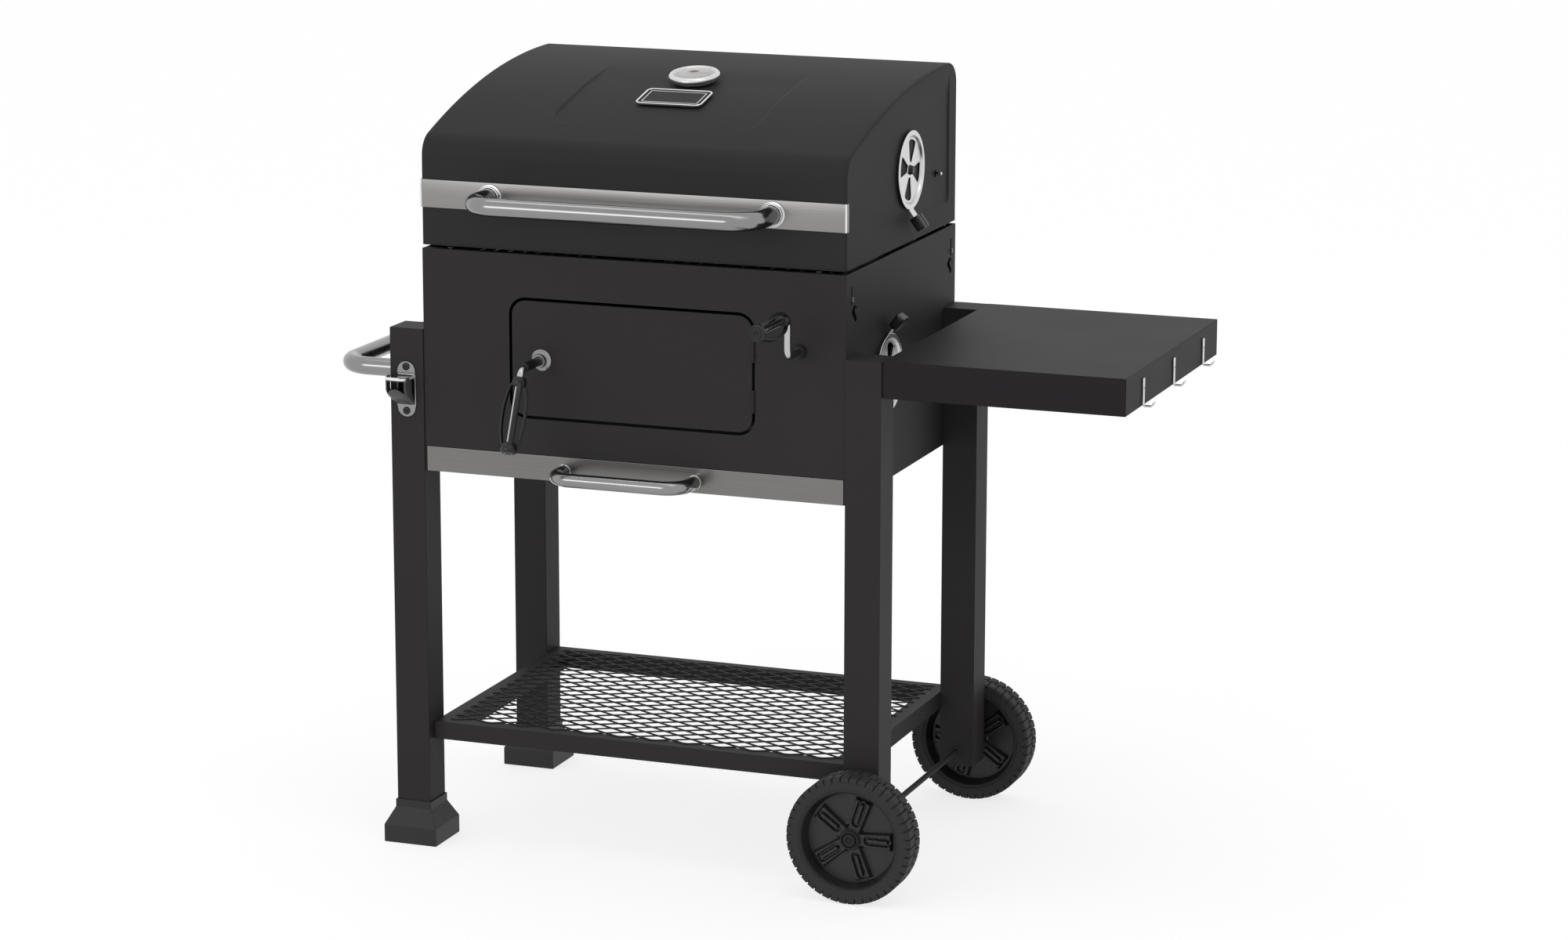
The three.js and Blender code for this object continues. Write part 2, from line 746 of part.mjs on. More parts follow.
function charcoalTray() {
  const z = [trayFoot, trayFoot + trayHeight];
  const inner = (range) => [range[0] + sheet, range[1] - sheet];
  const centred = (middle, size) => [middle - size / 2, middle + size / 2];
  const hollow = block(inner(trayX), inner(trayY), [z[0] + sheet, z[1] + overlap]);
  const shell = cut(block(trayX, trayY, z), hollow);
  const slots = [];
  for (let i = 0; i < traySlotColumns; i += 1) {
    for (let j = 0; j < traySlotRows; j += 1) {
      const x = trayX[0] + ((trayX[1] - trayX[0]) * (i + 0.5)) / traySlotColumns;
      const y = trayY[0] + ((trayY[1] - trayY[0]) * (j + 0.5)) / traySlotRows;
      const through = [z[0] - overlap, z[0] + sheet + overlap];
      slots.push(block(centred(x, traySlotLength), centred(y, traySlotWidth), through));
    }
  }
  return cut(shell, ...slots);
}

// The rack's teeth stand to the right, and a gap between teeth lies on the crank's axis at rest.
function rackProfile() {
  const slope = Math.tan(pressureAngle);
  const half = toothPitch / 4 - backlash / 4;
  const teeth = Math.ceil(crankTravel / toothPitch) + 3;
  const [back, root] = rackX;
  const tip = rackPitchX + addendum;
  const points = [];
  for (let k = 2 - teeth; k <= 1; k += 1) {
    const z = crankZ + (k + 0.5) * toothPitch;
    points.push([root, z - half - dedendum * slope], [tip, z - half + addendum * slope]);
    points.push([tip, z + half - addendum * slope], [root, z + half + dedendum * slope]);
  }
  return outline([[back, cradleZ[0]], [root, cradleZ[0]], ...points, [back, points.at(-1)[1]]]);
}

// A welded frame under the tray with the toothed rack at its front and a plain post at its back.
function trayCradle() {
  const x = [trayX[0] + cradleInset, trayX[1] - cradleInset];
  const y = [trayY[0] - cradleReach, trayY[1]];
  const within = (range) => [range[0] + cradleBar, range[1] - cradleBar];
  const hollow = block(within(x), within(y), [cradleZ[0] - overlap, cradleZ[1] + overlap]);
  const frame = cut(block(x, y, cradleZ), hollow);
  const post = rearPostY();
  return join(
    frame,
    prism('y', rackProfile(), rackY),
    block(rackX, [rackY[0], y[0] + overlap], cradleZ),
    block(rackX, post, [cradleZ[0], cradleZ[0] + rearPostHeight]),
    block(rackX, [y[1] - overlap, post[1]], cradleZ),
  );
}

function rearPostY() {
  const back = boxDepth - wallInner;
  return [back - rackY[1], back - rackY[0] + touch];
}

// A guide bar beside the rack or post, with a lug below that it comes to rest on.
function trayGuide(y, lugY, top) {
  const x = [rackX[0] - touch - guideWidth, rackX[0] - touch];
  const foot = cradleZ[0] - 12;
  const lug = block([x[1] - overlap, rackX[1]], lugY, [foot, cradleZ[0] - touch]);
  return join(block(x, y, [foot, top]), lug);
}

function frontTrayGuide() {
  return trayGuide([wallInner, rackY[1] + sheet], rackY, crankZ + guideRise);
}

function rearTrayGuide() {
  const post = rearPostY();
  return trayGuide([post[0] - touch, boxDepth - wallInner], post, cradleZ[0] + rearPostHeight + crankTravel);
}

const panX = [wallInner + touch, boxWidth - wallInner - touch];
const drawerFaceZ = [boxClearance, panelFoot - 2 * touch];

function ashPan() {
  const y = [wallInner, boxDepth - panRearGap];
  const z = [boxClearance + sheet + touch, boxClearance + sheet + touch + panHeight];
  const inner = (range) => [range[0] + panWall, range[1] - panWall];
  return cut(block(panX, y, z), block(inner(panX), inner(y), [z[0] + panWall, z[1] + overlap]));
}

function drawerFace() {
  return block(panX, [0, sheet], drawerFaceZ);
}

function pullHandle(span, reach, diameter, back, z, bend) {
  const x = [boxWidth / 2 - span / 2, boxWidth / 2 + span / 2];
  const path = bentPath([[x[0], back, z], [x[0], -reach, z], [x[1], -reach, z], [x[1], back, z]], bend);
  return bar(path, alongZ, diameter / 2);
}

function drawerHandle() {
  const z = (drawerFaceZ[0] + drawerFaceZ[1]) / 2;
  return pullHandle(drawerHandleSpan, drawerHandleReach, drawerHandleTube, -touch, z, drawerHandleBend);
}

// Charcoal door, latch and crank

function charcoalDoor() {
  const depth = [0, sheet + doorFlange];
  const shell = cut(
    doorOpening(depth, doorGap, openingFoot),
    doorOpening([sheet, depth[1] + overlap], doorGap + sheet, openingFoot),
  );
  const latchHole = rod('y', rodRadius + rodRun, [-overlap, sheet + overlap], [latchX, latchZ]);
  const middles = doorKnuckleLifts.map((lift) => knuckleRange(lift, 1));
  return cut(join(shell, ...middles.map(doorKnuckle)), latchHole, ...middles.map(doorBore));
}

// Each hinge has three knuckles of equal height; the middle one, number 1, belongs to the door.
function knuckleRange(lift, index) {
  const third = doorKnuckleHeight / 3;
  return [doorFoot + lift + index * third + touch / 2, doorFoot + lift + (index + 1) * third - touch / 2];
}

function doorKnuckle(z) {
  const barrel = rod('z', doorKnuckleRadius, z, [doorHingeX, doorHingeY], 12);
  return join(barrel, block([doorRight - overlap, doorHingeX], [doorHingeY - 1.4, doorHingeY + 1.4], z));
}

function doorBore(z) {
  return rod('z', doorPin + touch, [z[0] - overlap, z[1] + overlap], [doorHingeX, doorHingeY], 12);
}

// A strip behind the front panel whose necks come forward through the gap to the fixed knuckles and pins.
function doorHingeStrip() {
  const neckX = [doorHingeX + 0.8, openingLeft + openingWidth - touch];
  const back = [wallInner, wallInner + 1.5];
  const foot = knuckleRange(doorKnuckleLifts[0], 0)[0];
  const head = knuckleRange(doorKnuckleLifts[1], 2)[1];
  const parts = doorKnuckleLifts.flatMap((lift) => {
    const fixed = [0, 2].map((index) => knuckleRange(lift, index));
    const barrels = fixed.map((z) => rod('z', doorKnuckleRadius, z, [doorHingeX, doorHingeY], 12));
    const necks = fixed.map((z) => block(neckX, [doorHingeY, back[1]], z));
    const pin = rod('z', doorPin, [fixed[0][0], fixed[1][1]], [doorHingeX, doorHingeY], 10);
    return [...barrels, ...necks, pin];
  });
  return join(block([neckX[0], neckX[1] + 10], back, [foot, head]), ...parts);
}

function escutcheon() {
  const bore = rodRadius + rodRun;
  const profile = [
    [bore, touch],
    [escutcheonRadius, touch],
    [escutcheonRadius, touch + 1.5],
    [bore + 3, escutcheonDepth],
    [bore, escutcheonDepth],
  ];
  return turnedRing('y', profile.map(([r, y]) => [r, -y]), 28).translate(latchX, 0, latchZ);
}

// A bent rod through the door, with the cam that turns behind the firebox front welded to its inner end.
function latchHandle() {
  const inner = sheet + doorFlange + touch + camThickness;
  const along = gripLength + 8;
  const path = bentPath([
    [latchX, inner, latchZ],
    [latchX, -latchReach, latchZ],
    [latchX, -latchReach - along * Math.sin(latchLean), latchZ - along * Math.cos(latchLean)],
  ], rodBend);
  const cam = block(
    [latchX - camWidth / 2, latchX + camWidth / 2],
    [inner - camThickness, inner],
    [latchZ - latchCam, latchZ + camWidth / 2],
  );
  return join(bar(path, alongX, rodRadius), cam);
}

function crankHandle() {
  const top = crankZ + crankArm;
  const path = bentPath([
    [crankX, rackY[1], crankZ],
    [crankX, -crankReach, crankZ],
    [crankX, -crankReach, top],
    [crankX, -crankReach - gripLength - 8, top],
  ], rodBend);
  return bar(path, alongX, rodRadius);
}

// A wire-cage grip along Z: a collar, a closed end cap and bowed strips between them.
function cageGrip() {
  const bore = rodRadius + touch;
  const collarProfile = [[bore, 0], [gripCollar, 0], [gripCollar + 1, 6], [gripCollar, 12], [bore, 12]];
  const collar = turnedRing('z', collarProfile, 16);
  const capFoot = gripLength - 14;
  const cap = turned('z', [
    [0, gripLength - 4],
    [bore, gripLength - 4],
    [bore, capFoot],
    [gripCollar, capFoot],
    [gripCollar + 3, gripLength - 5],
    [gripCollar + 1, gripLength],
    [0, gripLength],
  ], 16);
  const wire = gripBowWidth / 2;
  const spread = (4 * (gripBulge - wire) - (gripCollar - wire)) / 3;
  const bow = new THREE.CubicBezierCurve3(
    new THREE.Vector3(gripCollar - wire + 1, 0, 6),
    new THREE.Vector3(spread, 0, gripLength * 0.27),
    new THREE.Vector3(spread, 0, gripLength * 0.73),
    new THREE.Vector3(gripCollar - wire + 1, 0, gripLength - 8),
  );
  const bows = Array.from({ length: gripBows }, (_, i) =>
    bar(bow.getPoints(8), alongY, wire, 6).rotateZ((2 * Math.PI * i) / gripBows));
  return join(collar, cap, ...bows);
}

function crankBushing() {
  const bore = rodRadius + rodRun;
  const sleeve = bushingRadius - 2 - touch;
  const profile = [
    [bore, -bushingDepth],
    [bushingRadius, -bushingDepth],
    [bushingRadius, -touch],
    [sleeve, -touch],
    [sleeve, sheet + 1.5],
    [bore, sheet + 1.5],
  ];
  return turnedRing('y', profile, 24).translate(crankX, 0, crankZ);
}

// Involute teeth, with straight flanks below the base circle; one tooth points along -X.
function pinion() {
  const baseRadius = pitchRadius * Math.cos(pressureAngle);
  const involute = (angle) => Math.tan(angle) - angle;
  const halfTooth = (radius) => {
    const pressure = Math.acos(Math.min(1, baseRadius / Math.max(radius, baseRadius)));
    const thinned = backlash / 4 / pitchRadius;
    return Math.PI / (2 * gearTeeth) + involute(pressureAngle) - involute(pressure) - thinned;
  };
  const radii = [pitchRadius - dedendum, baseRadius, pitchRadius, pitchRadius + addendum];
  const points = [];
  for (let i = 0; i < gearTeeth; i += 1) {
    const middle = Math.PI + (2 * Math.PI * i) / gearTeeth;
    const flank = (radius, side) => {
      const angle = middle + side * halfTooth(radius);
      return [crankX + radius * Math.cos(angle), crankZ + radius * Math.sin(angle)];
    };
    points.push(...radii.map((radius) => flank(radius, -1)));
    points.push(...radii.map((radius) => flank(radius, 1)).reverse());
  }
  const shape = outline(points);
  shape.holes.push(outline(arcPoints([crankX, crankZ], rodRadius + touch, 0, 2 * Math.PI * (15 / 16), 15)));
  return prism('y', shape, rackY);
}

// Dampers: a dished disc with a raised rim, four slots and a bent tab that carries a knob.

function damperDisc(turn) {
  const bore = damperStud + touch;
  const t = damperSheet;
  const rimFoot = touch + damperRise;
  const profile = [
    [bore, touch],
    [damperDish - 0.5, touch],
    [damperDish + 1.5, rimFoot],
    [damperRadius, rimFoot],
    [damperRadius, rimFoot + t],
    [damperDish + 0.5, rimFoot + t],
    [damperDish - 1.5, touch + t],
    [bore, touch + t],
  ];
  const tabFoot = damperRadius + damperTabStep;
  const [sin, cos] = [Math.sin(damperTabBend), Math.cos(damperTabBend)];
  const inner = [rimFoot + damperTabLength * sin, tabFoot + damperTabLength * cos];
  const tab = outline([
    [rimFoot, damperRadius - damperTabRoot],
    [rimFoot, tabFoot],
    inner,
    [inner[0] + t * cos, inner[1] - t * sin],
    [rimFoot + t, tabFoot - t * Math.tan(damperTabBend / 2)],
    [rimFoot + t, damperRadius - damperTabRoot],
  ]);
  const half = damperTabWidth / 2;
  const disc = join(turnedRing('x', profile, 40), prism('y', tab, [-half, half]));
  return cut(disc, ...damperSlots(turn));
}

function damperKnob() {
  const tabFoot = damperRadius + damperTabStep;
  const foot = damperTabLength - knobSocket + touch;
  const across = (size) => [-size / 2, size / 2];
  const body = block(across(knobThickness), across(knobWidth), [foot, foot + knobLength]);
  const slotZ = [foot - overlap, foot + knobSocket];
  const slot = block(across(damperSheet + 2 * touch), across(damperTabWidth + 2 * touch), slotZ);
  const leanX = (damperSheet / 2) * Math.cos(damperTabBend);
  const leanZ = (-damperSheet / 2) * Math.sin(damperTabBend);
  return cut(body, slot).rotateY(damperTabBend).translate(touch + damperRise + leanX, 0, tabFoot + leanZ);
}

// Lid

// The lid's section from its front lower edge to its back lower edge, moved in by the inset.
function lidSection(inset) {
  const kneeEnd = Math.atan2(kneeZ - crownZ, kneeRadius - crownY);
  const backZ = crownZ + crownRadius - backRadius;
  return [
    [inset, lidBase],
    ...arcPoints([kneeRadius, kneeZ], kneeRadius - inset, Math.PI, kneeEnd, 6),
    ...arcPoints([crownY, crownZ], crownRadius - inset, kneeEnd, Math.PI / 2, 12).slice(1),
    ...arcPoints([crownY, backZ], backRadius - inset, Math.PI / 2, 0, 6).slice(1),
    [boxDepth - inset, lidBase],
  ];
}

function crownGroup(y) {
  const lean = Math.asin((crownY - y) / crownRadius);
  const group = new THREE.Group();
  group.position.set(boxWidth / 2, y, crownZ + crownRadius * Math.cos(lean));
  group.rotation.x = lean;
  group.updateMatrix();
  return group;
}

function lidCover() {
  const shell = prism('x', outline([...lidSection(0), ...lidSection(sheet).reverse()]), [0, boxWidth]);
  const hole = rod('z', gaugeStemRadius + gaugeStemRun, [-20, 20], [0, 0]);
  const gaugeHole = hole.applyMatrix4(crownGroup(gaugeY).matrix);
  return cut(shell, gaugeHole);
}

function lidLeftEnd() {
  return prism('x', outline(lidSection(wallInner)), [0, sheet]);
}

function lidRightEnd() {
  const end = prism('x', outline(lidSection(wallInner)), [boxWidth - sheet, boxWidth]);
  return ventWall(end, boxWidth, lidDamperY, lidBase + lidDamperLift, damperTurn + Math.PI / 4);
}

const bandFront = -touch - bandThickness;

function lidBand() {
  const z = [lidBase + bandLift, lidBase + bandLift + bandHeight];
  const out = touch + bandThickness;
  return join(
    block([-out, boxWidth + out], [bandFront, -touch], z),
    block([-out, -touch], [bandFront, bandWrap], z),
    block([boxWidth + touch, boxWidth + out], [bandFront, bandWrap], z),
  );
}

function lidHandle() {
  const z = lidBase + bandLift + bandHeight / 2;
  const back = bandFront - touch;
  const tube = pullHandle(lidHandleSpan, lidHandleReach, lidHandleTube, back, z, lidHandleBend);
  const rosettes = [-1, 1].flatMap((side) => {
    const x = boxWidth / 2 + (side * lidHandleSpan) / 2;
    return [
      rod('y', rosetteRadius, [back - 3, back], [x, z], 24),
      rod('y', rosetteRadius - 1.5, [back - 7, back - 2], [x, z], 24),
    ];
  });
  return join(tube, ...rosettes);
}

function heatGauge() {
  const r = gaugeRadius;
  return turned('z', [
    [0, -gaugeStem],
    [gaugeStemRadius, -gaugeStem],
    [gaugeStemRadius, touch],
    [r - 2, touch],
    [r, touch + 2],
    [r, gaugeHeight - 3],
    [r - 3, gaugeHeight],
    [r - 7, gaugeHeight],
    [r - 8, gaugeHeight - 2],
    [0, gaugeHeight - 2],
  ], 36);
}

function badgePlate() {
  const plate = (inset, z) => prism('z', roundedRectangle(
    [-badgeWidth / 2 + inset, badgeWidth / 2 - inset],
    [-badgeDepth / 2 + inset, badgeDepth / 2 - inset],
    9 - inset,
  ), z);
  return cut(plate(0, [touch, touch + 3]), plate(3, [touch + 2, touch + 4]));
}

// Lid hinges, drawn about their own axis: two outer knuckles with the pin are fixed, the middle one lifts.

const leafY = [touch - hingeOffset, touch - hingeOffset + 2.4];
const middleKnuckle = [-hingeWidth * 0.2 + touch, hingeWidth * 0.2 - touch];

function hingeBase() {
  const half = hingeWidth / 2;
  const outers = [[-half, -hingeWidth * 0.2], [hingeWidth * 0.2, half]];
  const leaf = block([-half, half], leafY, [-hingeLeaf, -knuckleRadius - overlap]);
  const lugs = outers.map((x) => block(x, [leafY[0], 0], [-knuckleRadius - 2, 0]));
  const knuckles = outers.map((x) => rod('x', knuckleRadius, x, [0, 0], 16));
  return join(leaf, ...lugs, ...knuckles, rod('x', pinRadius, [-half, half], [0, 0], 12));
}

function hingeLidLeaf() {
  const half = hingeWidth / 2;
  const leaf = block([-half, half], leafY, [knuckleRadius + overlap, hingeLeaf + 4]);
  const lug = block(middleKnuckle, [leafY[0], 0], [0, knuckleRadius + 2]);
  const bore = rod('x', pinRadius + pinRun, [-half, half], [0, 0], 16);
  return cut(join(leaf, lug, rod('x', knuckleRadius, middleKnuckle, [0, 0], 16)), bore);
}

// Assembly

const grill = new THREE.Group();

for (const [name, x, y, geometry] of [
  ['front_left_leg', -touch - legSize, frontLegY, leg(footSole + touch)],
  ['rear_left_leg', -touch - legSize, rearLegY, leg(footSole + touch)],
  ['front_right_leg', boxWidth + touch, frontLegY, wheelLeg()],
  ['rear_right_leg', boxWidth + touch, rearLegY, wheelLeg()],
]) {
  grill.add(placed(piece(name, geometry, powderCoat), x, y, 0));
}

for (const [name, y] of [['front_left_foot', frontLegY], ['rear_left_foot', rearLegY]]) {
  grill.add(placed(piece(name, foot(), blackPlastic), -touch - legSize / 2, y + legSize / 2, 0));
}

grill.add(
  piece('lower_shelf_frame', lowerShelfFrame(), powderCoat),
  piece('mesh_shelf', meshShelf(), powderCoat),
  piece('axle', axle(), powderCoat),
  piece('axle_nut', axleNut(), blackPlastic),
  piece('side_handle', sideHandle(), chrome),
  piece('side_shelf', sideShelf(), powderCoat),
);

for (const [name, y] of [['front_wheel', frontWheelY], ['rear_wheel', rearWheelY]]) {
  const wheel = new THREE.Group();
  wheel.add(piece(`${name}_tyre`, tyre(), tyreRubber), piece(`${name}_rim`, wheelRim(), blackPlastic));
  grill.add(placed(wheel, axleX, y, wheelRadius));
}

hookPlaces.forEach((y, i) => {
  const x = boxWidth + 3 * touch + legSize + sideShelfLength;
  const hook = piece(`tool_hook_${i + 1}`, toolHook(), chrome);
  grill.add(placed(hook, x, y, sideShelfTop - hookDrop - hookHeight));
});

grill.add(placed(piece('bottle_opener', bottleOpener(), chrome), -touch - legSize / 2, 0, 0));

grill.add(
  piece('firebox_front', fireboxFront(), powderCoat),
  piece('firebox_back', fireboxBack(), powderCoat),
  piece('firebox_left_side', fireboxLeft(), powderCoat),
  piece('firebox_right_side', fireboxRight(), powderCoat),
  piece('front_grate_rail', grateRail(railPlaces[0]), rawSteel),
  piece('rear_grate_rail', grateRail(railPlaces[1]), rawSteel),
  piece('left_cooking_grate', cookingGrate(grateHalves[0]), enamel),
  piece('right_cooking_grate', cookingGrate(grateHalves[1]), enamel),
  piece('warming_rack', warmingRack(), chrome),
  piece('charcoal_tray', charcoalTray(), enamel),
  piece('tray_cradle', trayCradle(), rawSteel),
  piece('front_tray_guide', frontTrayGuide(), rawSteel),
  piece('rear_tray_guide', rearTrayGuide(), rawSteel),
  piece('ash_pan', ashPan(), rawSteel),
  piece('drawer_face', drawerFace(), brushedSteel),
  piece('drawer_handle', drawerHandle(), chrome),
  piece('charcoal_door', charcoalDoor(), powderCoat),
  piece('door_hinge_strip', doorHingeStrip(), powderCoat),
  piece('latch_escutcheon', escutcheon(), chrome),
  piece('latch_handle', latchHandle(), chrome),
  piece('crank_handle', crankHandle(), chrome),
  piece('crank_bushing', crankBushing(), blackPlastic),
  piece('crank_pinion', pinion(), rawSteel),
);

const latchGrip = piece('latch_grip', cageGrip(), blackPlastic);
const hang = new THREE.Vector3(0, -Math.sin(latchLean), -Math.cos(latchLean));
latchGrip.quaternion.setFromUnitVectors(new THREE.Vector3(0, 0, 1), hang);
latchGrip.position.set(latchX, -latchReach, latchZ).addScaledVector(hang, 12);
grill.add(latchGrip);

const crankGrip = piece('crank_grip', cageGrip(), blackPlastic);
crankGrip.rotation.x = Math.PI / 2;
grill.add(placed(crankGrip, crankX, -crankReach - 12, crankZ + crankArm));

for (const [name, x, y, z, turn] of [
  ['firebox_damper', boxWidth, boxDamperY, boxClearance + boxDamperLift, 0],
  ['lid_damper', boxWidth, lidDamperY, lidBase + lidDamperLift, Math.PI],
]) {
  const damper = new THREE.Group();
  damper.add(piece(`${name}_disc`, damperDisc(damperTurn), chrome));
  damper.add(piece(`${name}_knob`, damperKnob(), blackPlastic));
  damper.rotation.x = turn;
  grill.add(placed(damper, x, y, z));
}

grill.add(
  piece('lid_cover', lidCover(), powderCoat),
  piece('lid_left_end', lidLeftEnd(), powderCoat),
  piece('lid_right_end', lidRightEnd(), powderCoat),
  piece('lid_band', lidBand(), brushedSteel),
  piece('lid_handle', lidHandle(), chrome),
);

for (const [name, y, geometry, material] of [
  ['heat_gauge', gaugeY, heatGauge(), chrome],
  ['badge_plate', badgeY, badgePlate(), brushedSteel],
]) {
  const seat = crownGroup(y);
  seat.add(piece(name, geometry, material));
  grill.add(seat);
}

for (const [side, x] of [['left', hingePlaces[0]], ['right', hingePlaces[1]]]) {
  grill.add(
    placed(piece(`${side}_lid_hinge_base`, hingeBase(), powderCoat), x, hingeY, hingeZ),
    placed(piece(`${side}_lid_hinge_leaf`, hingeLidLeaf(), powderCoat), x, hingeY, hingeZ),
  );
}

// The origin is on the ground under the middle of the whole grill.
const extent = new THREE.Box3().setFromObject(grill);
const middle = extent.getCenter(new THREE.Vector3());
grill.position.set(-middle.x, -middle.y, -extent.min.z);

export default grill;
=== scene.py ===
# The looks of a charcoal barrel grill on a cart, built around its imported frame.
# Lengths here are millimetres: X right from the firebox's left wall, Y back from its front, Z up.
import json
import math

import bmesh
import bpy
import numpy as np
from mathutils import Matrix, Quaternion, Vector

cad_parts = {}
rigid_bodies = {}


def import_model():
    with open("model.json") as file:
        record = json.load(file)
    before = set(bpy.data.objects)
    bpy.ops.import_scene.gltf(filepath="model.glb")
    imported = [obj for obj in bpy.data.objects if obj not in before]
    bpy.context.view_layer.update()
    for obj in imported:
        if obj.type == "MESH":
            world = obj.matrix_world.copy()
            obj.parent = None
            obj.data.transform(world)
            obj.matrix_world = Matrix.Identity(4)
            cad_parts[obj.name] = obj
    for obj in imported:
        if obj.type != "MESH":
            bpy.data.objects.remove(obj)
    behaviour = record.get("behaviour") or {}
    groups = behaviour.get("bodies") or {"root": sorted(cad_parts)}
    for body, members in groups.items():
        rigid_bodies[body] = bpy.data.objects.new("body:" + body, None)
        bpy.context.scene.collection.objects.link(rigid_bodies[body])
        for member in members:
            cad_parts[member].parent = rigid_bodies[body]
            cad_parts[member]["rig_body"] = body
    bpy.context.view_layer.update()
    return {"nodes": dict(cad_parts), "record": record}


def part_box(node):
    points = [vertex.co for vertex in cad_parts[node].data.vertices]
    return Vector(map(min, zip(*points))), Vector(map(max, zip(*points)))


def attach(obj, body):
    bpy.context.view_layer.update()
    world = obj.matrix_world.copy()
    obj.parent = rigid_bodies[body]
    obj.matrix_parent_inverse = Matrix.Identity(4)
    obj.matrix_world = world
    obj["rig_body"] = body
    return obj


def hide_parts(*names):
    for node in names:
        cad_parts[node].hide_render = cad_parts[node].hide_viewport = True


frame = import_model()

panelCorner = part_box("firebox_front")[0]
origin = np.array([panelCorner.x, panelCorner.y, 0.0])
mm = 0.001  # a millimetre in the frame's metres
merged = 2e-6  # points nearer than this many metres become one
slotOf = {row["node"]: row["material_slot"] for row in frame["record"]["subparts"]}
finishes = {}
print("frame loaded:", len(frame["nodes"]), "nodes")


# Points and paths

def nodeBox(node):  # a node's box as its two corners in millimetres
    return [(np.array(corner) - origin) * 1000 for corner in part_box(node)]


def bodyOf(node):
    return frame["nodes"][node]["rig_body"]


def unit(vector):  # vector / length
    return vector / np.linalg.norm(vector, axis=-1, keepdims=True)


def smooth(share):  # 0 to 1 with level ends: 3 s^2 - 2 s^3
    share = np.clip(share, 0, 1)
    return share * share * (3 - 2 * share)


def stations(marks, steps):  # values from mark to mark, each stretch with its own number of steps
    runs = [np.linspace(a, b, n, endpoint=False) for a, b, n in zip(marks, marks[1:], steps)]
    return np.append(np.concatenate(runs), marks[-1])


# Straight runs between corners; each corner becomes an arc that starts the given reach before it.
# arc = centre + (sin((1 - s) turn) start + sin(s turn) end) / sin(turn)
def rounded(corners, reach, steps=6, closed=False):
    corners = np.array(corners, float)
    if closed:
        triples = zip(np.roll(corners, 1, 0), corners, np.roll(corners, -1, 0))
    else:
        triples = zip(corners, corners[1:], corners[2:])
    path = [] if closed else [corners[:1]]
    for before, corner, after in triples:
        near = min(reach, *(0.49 * np.linalg.norm(end - corner) for end in (before, after)))
        back, onward = unit(before - corner), unit(after - corner)
        half = math.acos(np.clip(back @ onward, -1, 1)) / 2
        if half > 1.56 or near < 1e-6:
            path.append(corner[None])
            continue
        centre = corner + unit(back + onward) * near / math.cos(half)
        start, end = corner + back * near - centre, corner + onward * near - centre
        turn = math.pi - 2 * half
        share = np.linspace(0, 1, steps + 1)[:, None]
        arc = np.sin((1 - share) * turn) * start + np.sin(share * turn) * end
        path.append(centre + arc / math.sin(turn))
    return np.concatenate(path if closed else [*path, corners[-1:]])


def directions(angle):  # (cos, sin) of each angle
    return np.stack([np.cos(angle), np.sin(angle)], 1)


def circle(radius, sides=32):
    return radius * directions(np.linspace(0, 2 * math.pi, sides, endpoint=False))


def superellipse(points, power):  # each point drawn onto |u|^power + |v|^power = 1
    return points / (np.abs(points) ** power).sum(1, keepdims=True) ** (1 / power)


def rectangle(width, height, corner, steps=5):  # about its middle, with rounded corners
    w, h = width / 2, height / 2
    return rounded([(-w, -h), (w, -h), (w, h), (-w, h)], corner, steps, closed=True)


# Each point of a closed outline moved in along the bisector of its two edges
def drawnIn(outline, distance):
    before = unit(outline - np.roll(outline, 1, 0))
    after = unit(np.roll(outline, -1, 0) - outline)
    along = unit(before + after)
    inward = np.stack([-along[:, 1], along[:, 0]], 1)
    return outline + inward * distance / np.maximum(0.3, (before * along).sum(1))[:, None]


# Shapes: (points, [faces]) in millimetres

# Quads between the rows and columns of a grid of points; a wrapped direction closes on itself
def gridShape(points, wrapRows=False, wrapColumns=False):
    rows, columns = points.shape[:2]
    row = np.arange(rows if wrapRows else rows - 1)[:, None]
    column = np.arange(columns if wrapColumns else columns - 1)[None, :]
    around = ((0, 0), (0, 1), (1, 1), (1, 0))
    corners = [(row + i) % rows * columns + (column + j) % columns for i, j in around]
    return points.reshape(-1, 3), [np.stack(np.broadcast_arrays(*corners), -1).reshape(-1, 4)]


def cap(loop):
    return loop, [np.arange(len(loop))[None]]


def capped(rows):  # rows of closed loops, joined to a tube with a flat face at each end
    return [gridShape(rows, wrapColumns=True), cap(rows[0]), cap(rows[-1])]


# A section carried along a path in one plane: point = path + across u + normal v.
# The edge round draws the section in at both ends.
def swept(path, normal, section, edge=0.0):
    path, normal = np.array(path, float), unit(np.array(normal, float))
    scale = np.ones(len(path) + (2 if edge else 0))
    if edge:
        start = path[0] + unit(path[1] - path[0]) * edge
        end = path[-1] + unit(path[-2] - path[-1]) * edge
        path = np.concatenate([path[:1], [start], path[1:-1], [end], path[-1:]])
        scale[[0, -1]] = 1 - edge / np.abs(section).max()
    across = unit(np.cross(unit(np.gradient(path, axis=0)), normal))
    sized = section[None] * scale[:, None, None]
    return capped(path[:, None] + sized[..., :1] * across[:, None] + sized[..., 1:] * normal)


# A profile of (radius, height) turned about an axis: point = centre + radius ring + height axis
def turned(profile, centre, axis, sides=48, closed=False):
    axis = unit(np.array(axis, float))
    side = unit(np.cross(axis, (0.3, 0.5, 0.8)))
    ring = circle(1, sides) @ np.stack([side, np.cross(axis, side)])
    profile = np.array(profile, float)
    points = np.array(centre) + profile[:, None, :1] * ring + profile[:, None, 1:] * axis
    return [gridShape(points, wrapRows=closed, wrapColumns=True)]


